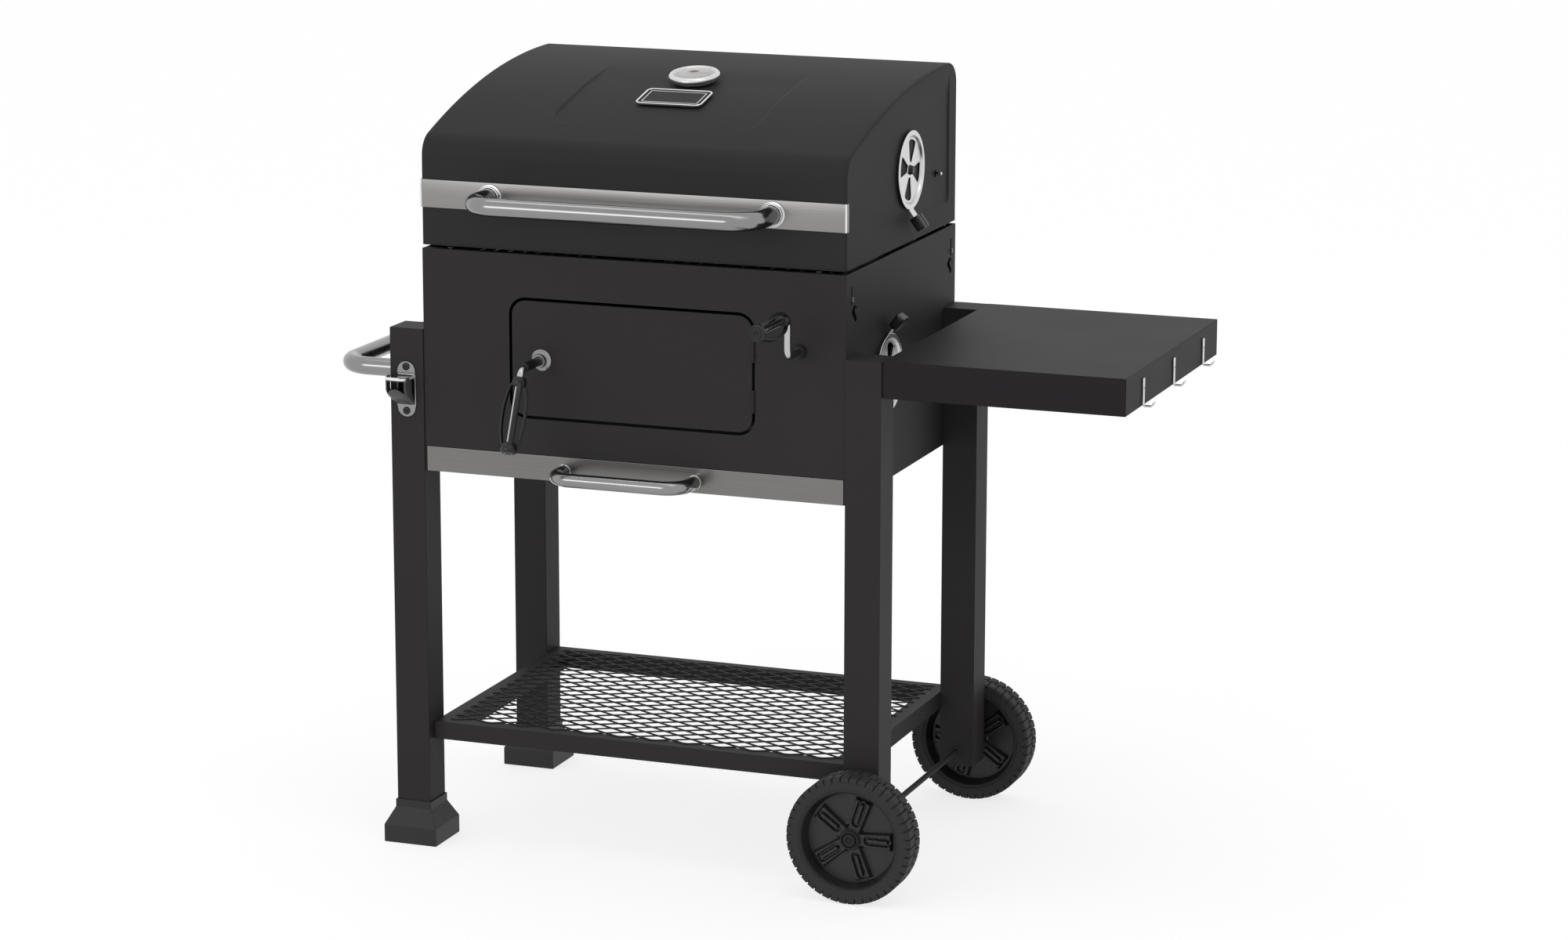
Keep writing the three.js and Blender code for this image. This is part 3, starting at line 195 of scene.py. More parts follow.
# Loops of an outline, each drawn in and lifted as its level (draw, lift) says; seat is (centre, u, v):
# point = centre + a u + b v + lift (u x v)
def loopsAt(outline, levels, seat):
    centre, u, v = [np.array(part, float) for part in seat]
    loops = [(drawnIn(outline, draw) if draw else outline) @ np.stack([u, v]) for draw, _ in levels]
    return np.stack([centre + loop + np.cross(u, v) * lift for loop, (_, lift) in zip(loops, levels)])


# A flat plate: the outline drawn in at both faces, with a face at each end
def plate(outline, low, high, edge, seat):
    return capped(loopsAt(outline, [(edge, low), (0, low + edge), (0, high - edge), (edge, high)], seat))


# Pieces

# A mesh as a piece: finish, body, slot, and the nodes that it stands for; edges over the angle sharp, in
# degrees, stay sharp
def keepPiece(mesh, name, nodes, finish, body, slotName, sharp):
    piece = bpy.data.objects.new(name, mesh)
    bpy.context.scene.collection.objects.link(piece)
    mesh.shade_smooth()
    mesh.set_sharp_from_angle(angle=math.radians(sharp))
    slotName = slotName or slotOf[nodes[0]]
    mesh.materials.append(finishes[finish or slotName])
    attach(piece, body or frame["nodes"][nodes[0]]["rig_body"])
    if nodes:
        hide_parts(*nodes)
    return piece


# A mesh with its doubled points merged. Its faces are turned out, or, where a flat angle is given,
# neighbours that lie within that angle become one face.
def cleanMesh(name, points, faces, flat=0.0):
    mesh = bpy.data.meshes.new(name)
    mesh.from_pydata(points, [], faces)
    work = bmesh.new()
    work.from_mesh(mesh)
    bmesh.ops.remove_doubles(work, verts=work.verts, dist=merged)
    if flat:
        bmesh.ops.dissolve_degenerate(work, edges=work.edges, dist=merged / 2)
        bmesh.ops.dissolve_limit(work, verts=work.verts, edges=work.edges, angle_limit=math.radians(flat))
    else:
        bmesh.ops.dissolve_degenerate(work, edges=work.edges, dist=merged / 20)
        bmesh.ops.recalc_face_normals(work, faces=work.faces)
    work.to_mesh(mesh)
    work.free()
    return mesh


# One mesh of a list of shapes, in the frame's metres: point = origin + millimetres
def joined(name, shapes):
    starts = np.cumsum([0] + [len(points) for points, _ in shapes])
    points = np.concatenate([points for points, _ in shapes]) * mm + origin
    faces = [row for (_, groups), start in zip(shapes, starts) for group in groups
             for row in (group + start).tolist()]
    return cleanMesh(name, points, faces)


def addPiece(name, shapes, nodes=(), finish=None, body=None, slotName=None, sharp=35):
    return keepPiece(joined(name, shapes), name, nodes, finish, body, slotName, sharp)


# A small piece that stands for no node: its finish, its body and its slot are given
def addDetail(name, shapes, finish, body, slotName, sharp=35):
    return addPiece(name, shapes, (), finish, body, slotName, sharp)


def addModifier(piece, kind, **settings):  # kind is Blender's own name of the modifier
    modifier = piece.modifiers.new(kind.lower(), kind)
    for key, value in settings.items():
        setattr(modifier, key, value)


def wall(piece, thickness, outward):  # a sheet faces the outward direction and thickens away from it
    faces = piece.data.polygons
    normals, areas = np.empty(len(faces) * 3), np.empty(len(faces))
    faces.foreach_get("normal", normals)
    faces.foreach_get("area", areas)
    if areas @ normals.reshape(-1, 3) @ np.array(outward) < 0:
        piece.data.flip_normals()
    addModifier(piece, "SOLIDIFY", thickness=thickness * mm, offset=-1, use_even_offset=True)


# A frame node's own shape, merged, freed of its flat triangles and given soft edges
def softenNode(node, width, finish=None, angle=32):
    source = frame["nodes"][node].data
    points = np.empty(len(source.vertices) * 3)
    corners = np.empty(len(source.loops), int)
    source.vertices.foreach_get("co", points)
    source.loops.foreach_get("vertex_index", corners)
    name = node + "_finished"
    mesh = cleanMesh(name, points.reshape(-1, 3), corners.reshape(-1, 3).tolist(), flat=0.6)
    piece = keepPiece(mesh, name, (node,), finish, None, None, angle)
    addModifier(piece, "BEVEL", width=width * mm, segments=2, limit_method="ANGLE",
                angle_limit=math.radians(angle), harden_normals=True)


# Finishes

class Wire:  # a socket that adds Math nodes when it is calculated with
    def __init__(self, graph, socket):
        self.graph, self.socket = graph, socket

    def math(self, operation, *values):
        return self.graph.add("ShaderNodeMath", {"operation": operation}, dict(enumerate(values)))

    def __add__(self, other):
        return self.math("ADD", self, other)

    def __mul__(self, other):
        return self.math("MULTIPLY", self, other)

    def __rsub__(self, other):
        return self.math("SUBTRACT", other, self)

    __radd__, __rmul__ = __add__, __mul__


class Graph:
    def __init__(self, tree):
        self.tree = tree
        tree.nodes.clear()

    def add(self, kind, settings=None, inputs=None, output=0):
        node = self.tree.nodes.new(kind)
        for key, value in (settings or {}).items():
            setattr(node, key, value)
        for key, value in (inputs or {}).items():
            if isinstance(value, Wire):
                self.tree.links.new(value.socket, node.inputs[key])
            else:
                node.inputs[key].default_value = value
        return Wire(self, node.outputs[output]) if len(node.outputs) else node

    def place(self, stretch=(1, 1, 1)):
        spot = self.add("ShaderNodeTexCoord", output=3)
        return self.add("ShaderNodeMapping", {}, {"Vector": spot, "Scale": stretch})

    def noise(self, scale, detail=2, stretch=(1, 1, 1)):
        inputs = {"Vector": self.place(stretch), "Scale": scale, "Detail": detail}
        return self.add("ShaderNodeTexNoise", {}, inputs)

    def blend(self, share, first, second):
        colors = {0: share, 6: (*first, 1), 7: (*second, 1)}
        return self.add("ShaderNodeMix", {"data_type": "RGBA"}, colors, output=2)

    def bump(self, height, distance, strength=1):
        return self.add("ShaderNodeBump", {}, {"Height": height, "Distance": distance, "Strength": strength})

    def pick(self, share, first, second):
        return self.add("ShaderNodeMixShader", {}, {0: share, 1: first, 2: second})


# Cloudy tone and a fine bump, as of baked powder or a mould. Roughness = rough + range cloud, or
# range grain where the look says so. A look without gloss is bare metal.
def plainLook(graph, look):
    cloud, grain = graph.noise(look["cloud"], 3), graph.noise(look["grain"], look["detail"])
    kind = {"Specular IOR Level": look["gloss"]} if "gloss" in look else {"Metallic": 1.0}
    return {
        "Base Color": graph.blend(cloud, look["dark"], look["light"]),
        "Roughness": look["rough"] + look["roughRange"] * (grain if look.get("grainRough") else cloud),
        "Normal": graph.bump(grain, look["depth"]), **kind,
    }


# Fine hair lines along X over a soft cloud
def brushedLook(graph, look):
    hair = graph.noise(look["hair"], 3, look["stretch"])
    cloud, share = graph.noise(look["cloud"], 2), look["hairShare"]
    return {
        "Base Color": graph.blend(hair * share + cloud * (1 - share), look["dark"], look["light"]),
        "Roughness": look["rough"] + look["roughRange"] * hair,
        "Metallic": 1.0,
        "Normal": graph.bump(hair, look["depth"]),
    }


def glassLook(graph, look):
    return {
        "Base Color": (1, 1, 1, 1), "IOR": look["ior"], "Transmission Weight": 1.0,
        "Roughness": look["rough"] + look["roughRange"] * graph.noise(look["smear"], 3),
    }


def grey(level, warm=0.0):  # a grey with a little more red and less blue
    return level * (1 + warm), level, level * (1 - warm)


def tones(dark, light, warm=0.0):
    return {"dark": grey(dark, warm), "light": grey(light, warm)}


# What several finishes share, then each finish as its look, its shared values and its own
coat = {"cloud": 5, "grain": 1100, "detail": 2, "depth": 0.00002, "roughRange": 0.08}
brushed = {"hair": 1, "stretch": (6, 500, 900), "cloud": 4, "hairShare": 0.7, "depth": 0.000015,
           "rough": 0.24, "roughRange": 0.12}
metal = {"grain": 300, "detail": 2, "depth": 0.000004, "roughRange": 0.05}
moulded = {"cloud": 20, "grain": 1500, "detail": 3, "depth": 0.00003, "roughRange": 0.1, "grainRough": True}
painted = {**moulded, "cloud": 30, "grain": 900, "depth": 0.000005, "rough": 0.4, "gloss": 0.4}
looks = {
    "powder_coat": (plainLook, coat, {
        "rough": 0.52, "gloss": 0.13, "dark": (0.0194, 0.0175, 0.0181), "light": (0.0216, 0.0195, 0.0201)}),
    "lid_coat": (plainLook, coat, {
        "rough": 0.55, "gloss": 0.10, "dark": (0.0192, 0.0186, 0.0188), "light": (0.0216, 0.0209, 0.0212)}),
    # A lighter copy of the lid's coat for both ends: painted light, as the right end faces the light
    "painted_light_end_coat": (plainLook, coat, {
        "rough": 0.55, "gloss": 0.10, "dark": (0.0238, 0.0222, 0.0229), "light": (0.0264, 0.0246, 0.0254)}),
    # A darker copy of the coat, with more gloss to keep the top bright, for the side shelf: painted shade on
    # its front
    "painted_shade_shelf_coat": (plainLook, coat, {
        "rough": 0.50, "gloss": 0.15, "dark": (0.0088, 0.0072, 0.0084), "light": (0.0104, 0.0086, 0.0100)}),
    # Near-black finish for painted shade: the dark inside of the wall's slots and holes, and the shade behind
    # the opener's window
    "dark_hole": (plainLook, moulded, {
        "cloud": 40, "grain": 1200, "depth": 0.00002, "rough": 0.85, "gloss": 0.01, **tones(0.0015, 0.0030)}),
    "enamel": (plainLook, coat, {
        "cloud": 30, "grain": 500, "depth": 0.00003, "rough": 0.26, "gloss": 0.5, **tones(0.009, 0.016)}),
    "brushed_steel": (brushedLook, brushed, tones(0.225, 0.295, 0.02)),
    "drawer_steel": (brushedLook, brushed, tones(0.155, 0.215, 0.02)),
    "chrome": (plainLook, metal, {"cloud": 12, "rough": 0.16, **tones(0.24, 0.29)}),
    "rod_steel": (plainLook, metal, {"cloud": 14, "rough": 0.12, **tones(0.44, 0.52)}),
    "bright_steel": (plainLook, metal, {
        "cloud": 16, "grain": 400, "depth": 0.000003, "rough": 0.09, **tones(0.74, 0.82)}),
    # A dark, non-metal copy of steel for the opener's hood: painted shade and dark reflection on its
    # down-facing front
    "painted_shade_steel": (plainLook, moulded, {
        "grain": 900, "depth": 0.00001, "rough": 0.36, "gloss": 0.5, **tones(0.040, 0.048)}),
    "satin_steel": (plainLook, metal, {
        "cloud": 25, "grain": 900, "depth": 0.00001, "rough": 0.28, "roughRange": 0.08, **tones(0.62, 0.70)}),
    "raw_steel": (plainLook, metal, {
        "cloud": 18, "grain": 600, "depth": 0.00002, "rough": 0.38, "roughRange": 0.12,
        **tones(0.20, 0.30, 0.02)}),
    "black_plastic": (plainLook, moulded, {"rough": 0.32, "gloss": 0.38, **tones(0.0050, 0.0075)}),
    "foot_plastic": (plainLook, moulded, {
        "rough": 0.45, "gloss": 0.34, "dark": (0.0135, 0.0117, 0.0124), "light": (0.0172, 0.0150, 0.0160)}),
    "wheel_plastic": (plainLook, moulded, {
        "rough": 0.34, "gloss": 0.4, "dark": (0.0120, 0.0107, 0.0115), "light": (0.0155, 0.0138, 0.0148)}),
    "tyre_rubber": (plainLook, moulded, {
        "cloud": 14, "grain": 900, "depth": 0.00005, "rough": 0.62, "gloss": 0.3,
        "dark": (0.0170, 0.0156, 0.0164), "light": (0.0210, 0.0193, 0.0203)}),
    "dial_face": (plainLook, painted, tones(0.30, 0.36, 0.01)),
    "zone_paint": (plainLook, painted, {"dark": (0.38, 0.26, 0.22), "light": (0.44, 0.31, 0.27)}),
    "needle_paint": (plainLook, painted, {
        "cloud": 40, "dark": (0.52, 0.06, 0.02), "light": (0.62, 0.09, 0.03)}),
    "gauge_glass": (glassLook, {}, {"ior": 1.45, "smear": 60, "rough": 0.01, "roughRange": 0.02}),
}
for name, (build, shared, own) in looks.items():
    material = bpy.data.materials.new(name)
    material.use_nodes = True
    graph = Graph(material.node_tree)
    shader = graph.add("ShaderNodeBsdfPrincipled", {}, build(graph, {**shared, **own}))
    graph.add("ShaderNodeOutputMaterial", {}, {"Surface": shader})
    finishes[name] = material
print("finishes made:", len(finishes))


# Lid: a drawn cover with a pressed panel, two pressed ends, band, handle, gauge and badge

lid = {
    "crown": 1150, "knee": 32, "back": 30, "edge": 4.0, "sheet": 2.0,
    "pressHalf": 148, "pressFront": 65, "pressFade": (215, 305), "pressCorner": 35,
    "pressWall": 3.6, "pressDepth": 2.2,
    "endInset": 32, "endFoot": 30, "endWall": 2.4, "endDepth": 2.4, "endCorner": 14,
    "endFade": 42, "endFadeStart": 8, "endFront": (250, 380),
}
lidLow, lidHigh = nodeBox("lid_cover")
middleX = (lidLow[0] + lidHigh[0]) / 2
crownY = lidHigh[1] - lid["back"]
crownZ = lidHigh[2] - lid["crown"]
backZ = lidHigh[2] - lid["back"]
kneeZ = crownZ + math.sqrt((lid["crown"] - lid["knee"]) ** 2 - (crownY - lid["knee"]) ** 2)
kneeEnd = math.atan2(kneeZ - crownZ, lid["knee"] - crownY)


def crownAngle(y):  # arccos((y - centre) / radius) on the crown's circle
    return math.acos((y - crownY) / lid["crown"])


# The lid's section from its front lower edge to its back one: straight wall, knee arc, crown arc, back
# arc, straight wall, as points (y, z) with their outward normals
def lidProfile():
    front = stations([lidLow[2], kneeZ], [20])[:-1]
    points = [np.stack([np.full_like(front, lidLow[1]), front], 1)]
    normals = [np.tile([-1.0, 0.0], (len(front), 1))]
    press = lid["pressFront"]
    crownMarks = [kneeEnd, crownAngle(press - 6), crownAngle(press + 42), math.pi / 2]
    for centre, radius, marks, steps in (
        ((lid["knee"], kneeZ), lid["knee"], [math.pi, kneeEnd], [14]),
        ((crownY, crownZ), lid["crown"], crownMarks, [8, 40, 50]),
        ((crownY, backZ), lid["back"], [math.pi / 2, 0], [14]),
    ):
        angle = stations(marks, steps)[:-1]
        normals.append(directions(angle))
        points.append(np.array(centre) + radius * normals[-1])
    back = stations([backZ, lidLow[2]], [24])
    points.append(np.stack([np.full_like(back, lidHigh[1]), back], 1))
    normals.append(np.tile([1.0, 0.0], (len(back), 1)))
    return np.concatenate(points), np.concatenate(normals)


# Depth of the pressed panel on the crown: depth smooth(distance inside a rounded rectangle / wall) fade
def pressDepth(x, y):
    corner = lid["pressCorner"]
    aside = np.abs(x - middleX) - (lid["pressHalf"] - corner)
    ahead = lid["pressFront"] + corner - y
    outside = np.hypot(np.maximum(aside, 0), np.maximum(ahead, 0))
    outside = outside + np.minimum(np.maximum(aside, ahead), 0)
    near, far = lid["pressFade"]
    fade = smooth((far - y) / (far - near))
    return lid["pressDepth"] * smooth((corner - outside) / lid["pressWall"]) * fade


# Cover: point = section - normal (edge drop + press depth); at both ends the sheet turns down by a
# quarter arc, x = e - e cos(t) and drop = e - e sin(t)
def lidCover():
    edge, width = lid["edge"], lidHigh[0]
    turn = np.linspace(0, math.pi / 2, 6)[:-1]
    left, right = middleX - lid["pressHalf"], middleX + lid["pressHalf"]
    flat = stations([edge, left - 4, left + 40, right - 40, right + 4, width - edge], [22, 36, 34, 36, 22])
    x = np.concatenate([edge - edge * np.cos(turn), flat, width - edge + edge * np.cos(turn[::-1])])
    drop = np.concatenate([edge - edge * np.sin(turn), 0 * flat, edge - edge * np.sin(turn[::-1])])
    section, normal = lidProfile()
    inward = drop[None] + pressDepth(x[None], section[:, :1])
    y = section[:, :1] - normal[:, :1] * inward
    z = section[:, 1:] - normal[:, 1:] * inward
    points = np.stack([np.broadcast_to(x, y.shape), y, z], -1)
    piece = addPiece("lid_cover_sheet", [gridShape(points)], ["lid_cover"], "lid_coat", sharp=50)
    wall(piece, lid["sheet"], (0, 0, 1))


# Height of the lid's section at a depth y, drawn in by an inset
def lidTop(y, inset):
    kneeArc = kneeZ + np.sqrt(np.maximum((lid["knee"] - inset) ** 2 - (lid["knee"] - y) ** 2, 0))
    crownArc = crownZ + np.sqrt((lid["crown"] - inset) ** 2 - (crownY - y) ** 2)
    backArc = backZ + np.sqrt(np.maximum((lid["back"] - inset) ** 2 - (y - crownY) ** 2, 0))
    kneeY = lid["knee"] + (lid["knee"] - inset) * math.cos(kneeEnd)
    return np.where(y < kneeY, kneeArc, np.where(y > crownY, backArc, crownArc))


# Depth of the panel pressed into each end: a crisp wall at the back and its lower corner, where the
# inside distance is the soft minimum of two, and a slow fade towards the crown and the front
def endDepth(y, z):
    softness = lid["endCorner"] / 4
    sides = [lidHigh[1] - lid["endInset"] - y, z - lidLow[2] - lid["endFoot"]]
    inside = -softness * np.log(sum(np.exp(-np.clip(side, -60, 60) / softness) for side in sides))
    toCrown = lid["crown"] - np.hypot(y - crownY, z - crownZ) - lid["endFadeStart"]
    near, far = lid["endFront"]
    fade = smooth(toCrown / lid["endFade"]) * smooth((y - near) / (far - near))
    return lid["endDepth"] * smooth(inside / lid["endWall"]) * fade


# End: a sheet over the section's inside, x = face - side (press depth), whose rim tucks under the cover
def lidEnd(name, face, side):
    rim, tuck = lid["edge"], 0.4
    swing = np.linspace(0, math.pi - kneeEnd, 10)[:-1]
    kneeY = lid["knee"] - (lid["knee"] - rim) * np.cos(swing)
    crownStart = lid["knee"] - (lid["knee"] - rim) * math.cos(math.pi - kneeEnd)
    backY = crownY + (lid["back"] - rim) * np.sin(np.linspace(0, math.pi / 2, 12)[1:])
    crisp = lidHigh[1] - lid["endInset"] - lid["endWall"] - 4
    y = np.concatenate([[rim - tuck], kneeY, stations([crownStart, crisp, crownY], [130, 24]), backY,
                        [backY[-1] + tuck]])
    share = np.append(np.linspace(0, 1, 150), 1.0)
    top = lidTop(np.clip(y, rim, lidHigh[1] - rim), rim)
    z = lidLow[2] + share[:, None] * (top - lidLow[2])[None]
    z[-1] += tuck
    y = np.broadcast_to(y, z.shape)
    x = face - side * endDepth(y, z)
    x[-1] -= side * 0.15
    x[:, [0, -1]] -= side * 0.15
    # Both ends take the lighter copy of the lid's coat: painted light
    piece = addPiece(name + "_sheet", [gridShape(np.stack([x, y, z], -1))], [name], "painted_light_end_coat", sharp=50)
    wall(piece, lid["sheet"], (side, 0, 0))
    return piece


band = {"thick": 1.0, "bend": 1.4, "corner": 0.35, "edge": (2.6, 0.5, 0.2, 0.8)}


# Band: a strip round the front, and at each end a small plate of bright steel on its front, a painted
# highlight where the band bends round the corner
def lidBand():
    low, high = nodeBox("lid_band")
    out = band["thick"] / 2
    corners = [(low[0] + out, high[1]), (low[0] + out, low[1] + out),
               (high[0] - out, low[1] + out), (high[0] - out, high[1])]
    path = rounded(corners, band["bend"], 4)
    path = np.column_stack([path, np.full(len(path), (low[2] + high[2]) / 2)])
    section = rectangle(band["thick"], high[2] - low[2], band["corner"], 3)
    addPiece("lid_band_strip", swept(path, (0, 0, 1), section), ["lid_band"])
    wide, proud, edge, corner = band["edge"]
    outline = rectangle(wide, high[2] - low[2], corner, 3)
    for x in (low[0], high[0] - wide):
        seat = ((x + wide / 2, low[1] + 0.1, (low[2] + high[2]) / 2), (1, 0, 0), (0, 0, 1))
        addDetail("lid_band_edge_%d" % (x > middleX), plate(outline, 0, proud, edge, seat),
                  "bright_steel", "lid", "brushed_steel")


# A tube handle: out from its first foot, along and back to its second; rings stand round both feet. The rings
# are real; their steel, brighter than the tube's chrome, is a painted highlight.
handles = {
    "lid_handle": {
        "tube": 12.7, "bend": 40, "foot": 16.0,
        "ring": [(0, 0), (17.6, 0), (17.6, 2.4), (16.9, 3.4), (16.0, 3.4), (15.4, 0.8), (14.6, 0.8),
                 (14.4, 5.4), (13.9, 6.2), (13.2, 6.2), (12.9, 2), (0, 2)],
    },
    "drawer_handle": {
        "tube": 9.5, "bend": 34, "foot": 9.5, "ring": [(0, 11), (9.9, 11), (9.9, 11.8), (0, 11.8)],
    },
    "side_handle": {
        "tube": 12.5, "bend": 45, "foot": 12.5, "ring": [(0, 0), (14, 0), (14, 2.4), (0, 2.4)],
    },
}


def tubeHandle(node, feet, out, normal):
    look = handles[node]
    feet, out = np.array(feet), np.array(out)
    path = rounded([feet[0], feet[0] + out, feet[1] + out, feet[1]], look["bend"], 18)
    addPiece(node + "_tube", swept(path, normal, circle(look["tube"], 40)), [node])
    profile = rounded(look["ring"], 0.35, 3)
    rings = [shape for foot in feet for shape in turned(profile, foot, out, 56)]
    addDetail(node + "_rings_painted_highlight", rings, "bright_steel", bodyOf(node), "chrome")


# A handle whose feet stand on the node's rear face, one foot width in from its ends
def frontHandle(node):
    look = handles[node]
    low, high = nodeBox(node)
    z = (low[2] + high[2]) / 2
    feet = [(low[0] + look["foot"], high[1], z), (high[0] - look["foot"], high[1], z)]
    tubeHandle(node, feet, (0, low[1] + look["tube"] - high[1], 0), (0, 0, 1))


# A seat on the crown: its centre, its right, its back along the sheet and its outward direction
def crownSeat(y):
    lean = math.asin((crownY - y) / lid["crown"])
    centre = np.array([middleX, y, crownZ + lid["crown"] * math.cos(lean)])
    along = np.array([0, math.cos(lean), math.sin(lean)])
    return centre, np.array([1.0, 0, 0]), along, np.array([0, -math.sin(lean), math.cos(lean)])


# Heights of dial, ticks, zone, needle, hub and glass are over the dial's face
gauge = {
    "y": 234, "face": 10.6, "dial": (27.2, 0.4), "first": -135, "sweep": 270, "needle": 14,
    "case": [(0, 0.3), (29.5, 0.3), (29.5, 4), (35.5, 5.8), (35.5, 9.3), (32.9, 12.5), (29.1, 12.5),
             (27.9, 10.1), (0, 10.1)],
    "stem": [(0, -70), (4, -70), (4, 0.3), (0, 0.3)],
    "ticks": 25, "rimGap": 1.6, "longTick": (5.2, 1.1), "shortTick": (3.0, 0.6), "tickHigh": 0.2,
    "zone": (40, 120), "zoneRadii": (17, 14.5), "zoneHigh": 0.15,
    "blade": [(0, -1.6), (20, -0.4), (20, 0.4), (0, 1.6), (-7, 1.3), (-7, -1.3)], "bladeHeights": (0.4, 0.8),
    "hub": [(0, 0.1), (2.6, 0.1), (2.6, 1.0), (1.8, 1.4), (0, 1.5)],
    "glass": [(28.2, 0.9), (20, 1.65), (10, 1.9), (0, 2.0), (0, 1.65), (10, 1.55), (20, 1.3), (28.2, 0.55)],
}


# Gauge: turned case, dial and glass; ticks stand on the dial at first - sweep i / (count - 1)
def heatGauge():
    centre, right, along, out = crownSeat(gauge["y"])
    case = turned(rounded(gauge["case"], 1.0, 4), centre, out, 72)
    stem = turned(rounded(gauge["stem"], 0.8, 3), centre, out, 24)
    addPiece("heat_gauge_case", case + stem, ["heat_gauge"], "satin_steel")
    face = centre + out * gauge["face"]
    radius, thick = gauge["dial"]
    dial = rounded([(0, -thick), (radius, -thick), (radius, 0), (0, 0)], 0.2, 2)
    addDetail("heat_gauge_dial", turned(dial, face, out, 64), "dial_face", "lid", "chrome")
    ticks = []
    for i in range(gauge["ticks"]):
        angle = math.radians(gauge["first"] - gauge["sweep"] * i / (gauge["ticks"] - 1))
        toRim = right * math.cos(angle) + along * math.sin(angle)
        size = gauge["shortTick" if i % 4 else "longTick"]
        seat = (face + toRim * (radius - gauge["rimGap"] - size[0] / 2), toRim, np.cross(out, toRim))
        ticks += plate(rectangle(*size, 0.2, 1), 0, gauge["tickHigh"], 0.03, seat)
    addDetail("heat_gauge_ticks", ticks, "black_plastic", "lid", "chrome")
    arc = directions(np.radians(np.linspace(*gauge["zone"], 25)))
    outer, inner = gauge["zoneRadii"]
    zone = plate(np.concatenate([arc[::-1] * outer, arc * inner]), 0, gauge["zoneHigh"], 0.03,
                 (face, right, along))
    addDetail("heat_gauge_zone", zone, "zone_paint", "lid", "chrome")
    angle = math.radians(gauge["needle"])
    toTip = right * math.cos(angle) + along * math.sin(angle)
    needle = plate(np.array(gauge["blade"]), *gauge["bladeHeights"], 0.1, (face, toTip, np.cross(out, toTip)))
    hub = turned(gauge["hub"], face, out, 24)
    addDetail("heat_gauge_needle", needle + hub, "needle_paint", "lid", "chrome")
    glass = turned(rounded(gauge["glass"], 3, 3), face, out, 64, closed=True)
    addDetail("heat_gauge_glass", glass, "gauge_glass", "lid", "chrome")


# Border and line are sections of (drawn in, height); the field is (drawn in, low, high, edge)
badge = {
    "y": 159, "width": 96, "depth": 56, "corner": 9,
    "border": [(0.4, 0.3), (0, 0.7), (0, 2.8), (0.5, 3.3), (2, 3.3), (2.5, 2.8), (2.5, 1.8), (2.5, 0.3)],
    "line": [(7.4, 1.9), (7.4, 2.5), (8.6, 2.5), (8.6, 1.9)], "field": (2.5, 0.4, 2.0, 0.1),
}


# A bare plate: a bright raised border round a dark field with one thin bright line inside it
def badgePlate():
    seat = crownSeat(badge["y"])[:3]
    outer = rectangle(badge["width"], badge["depth"], badge["corner"], 8)
    border, line = [[gridShape(loopsAt(outer, badge[key], seat), wrapRows=True, wrapColumns=True)]
                    for key in ("border", "line")]
    addPiece("badge_plate_border", border, ["badge_plate"], "bright_steel")
    draw, low, high, edge = badge["field"]
    field = plate(drawnIn(outer, draw), low, high, edge, seat)
    addDetail("badge_plate_field", field, "powder_coat", "lid", "powder_coat")
    addDetail("badge_plate_line", line, "bright_steel", "lid", "brushed_steel")


# Dampers: a dished disc with four wedge slots, a bent tab with a grooved knob, and a rivet

damper = {
    "radius": 54, "dish": 43.8, "low": 2.2, "high": 4.8, "sheet": 1.5, "hole": 6.5, "edge": 0.6,
    "groove": (0.4, 1.2, 2.2, 3.4), "grooveFoot": 0.5,
    "slots": (10.5, 41.5), "slotHalf": 21.5, "slotTurn": -13, "slotPower": 7, "steps": 20,
    "tab": 17, "tabLength": 19.5, "tabBend": 36, "tabReach": 0.4, "tabTuck": 0.8,
    "rivet": [(0, 0.2), (5, 0.2), (5, 1.8), (7.2, 1.8), (7.2, 2.6), (6, 3.2), (6, 6.0), (4.6, 7.2), (0, 7.4)],
    "ventTurn": 45, "ventSlack": (1.5, 0.5), "ventDepth": 9,
}


def polar(centre, side, radius, angle, out):  # side turns the damper over: 1 has its tab up, -1 down
    x, y, z = np.broadcast_arrays(out, radius * np.cos(angle), radius * np.sin(angle))
    return np.stack([centre[0] + x, centre[1] + side * y, centre[2] + side * z], -1)


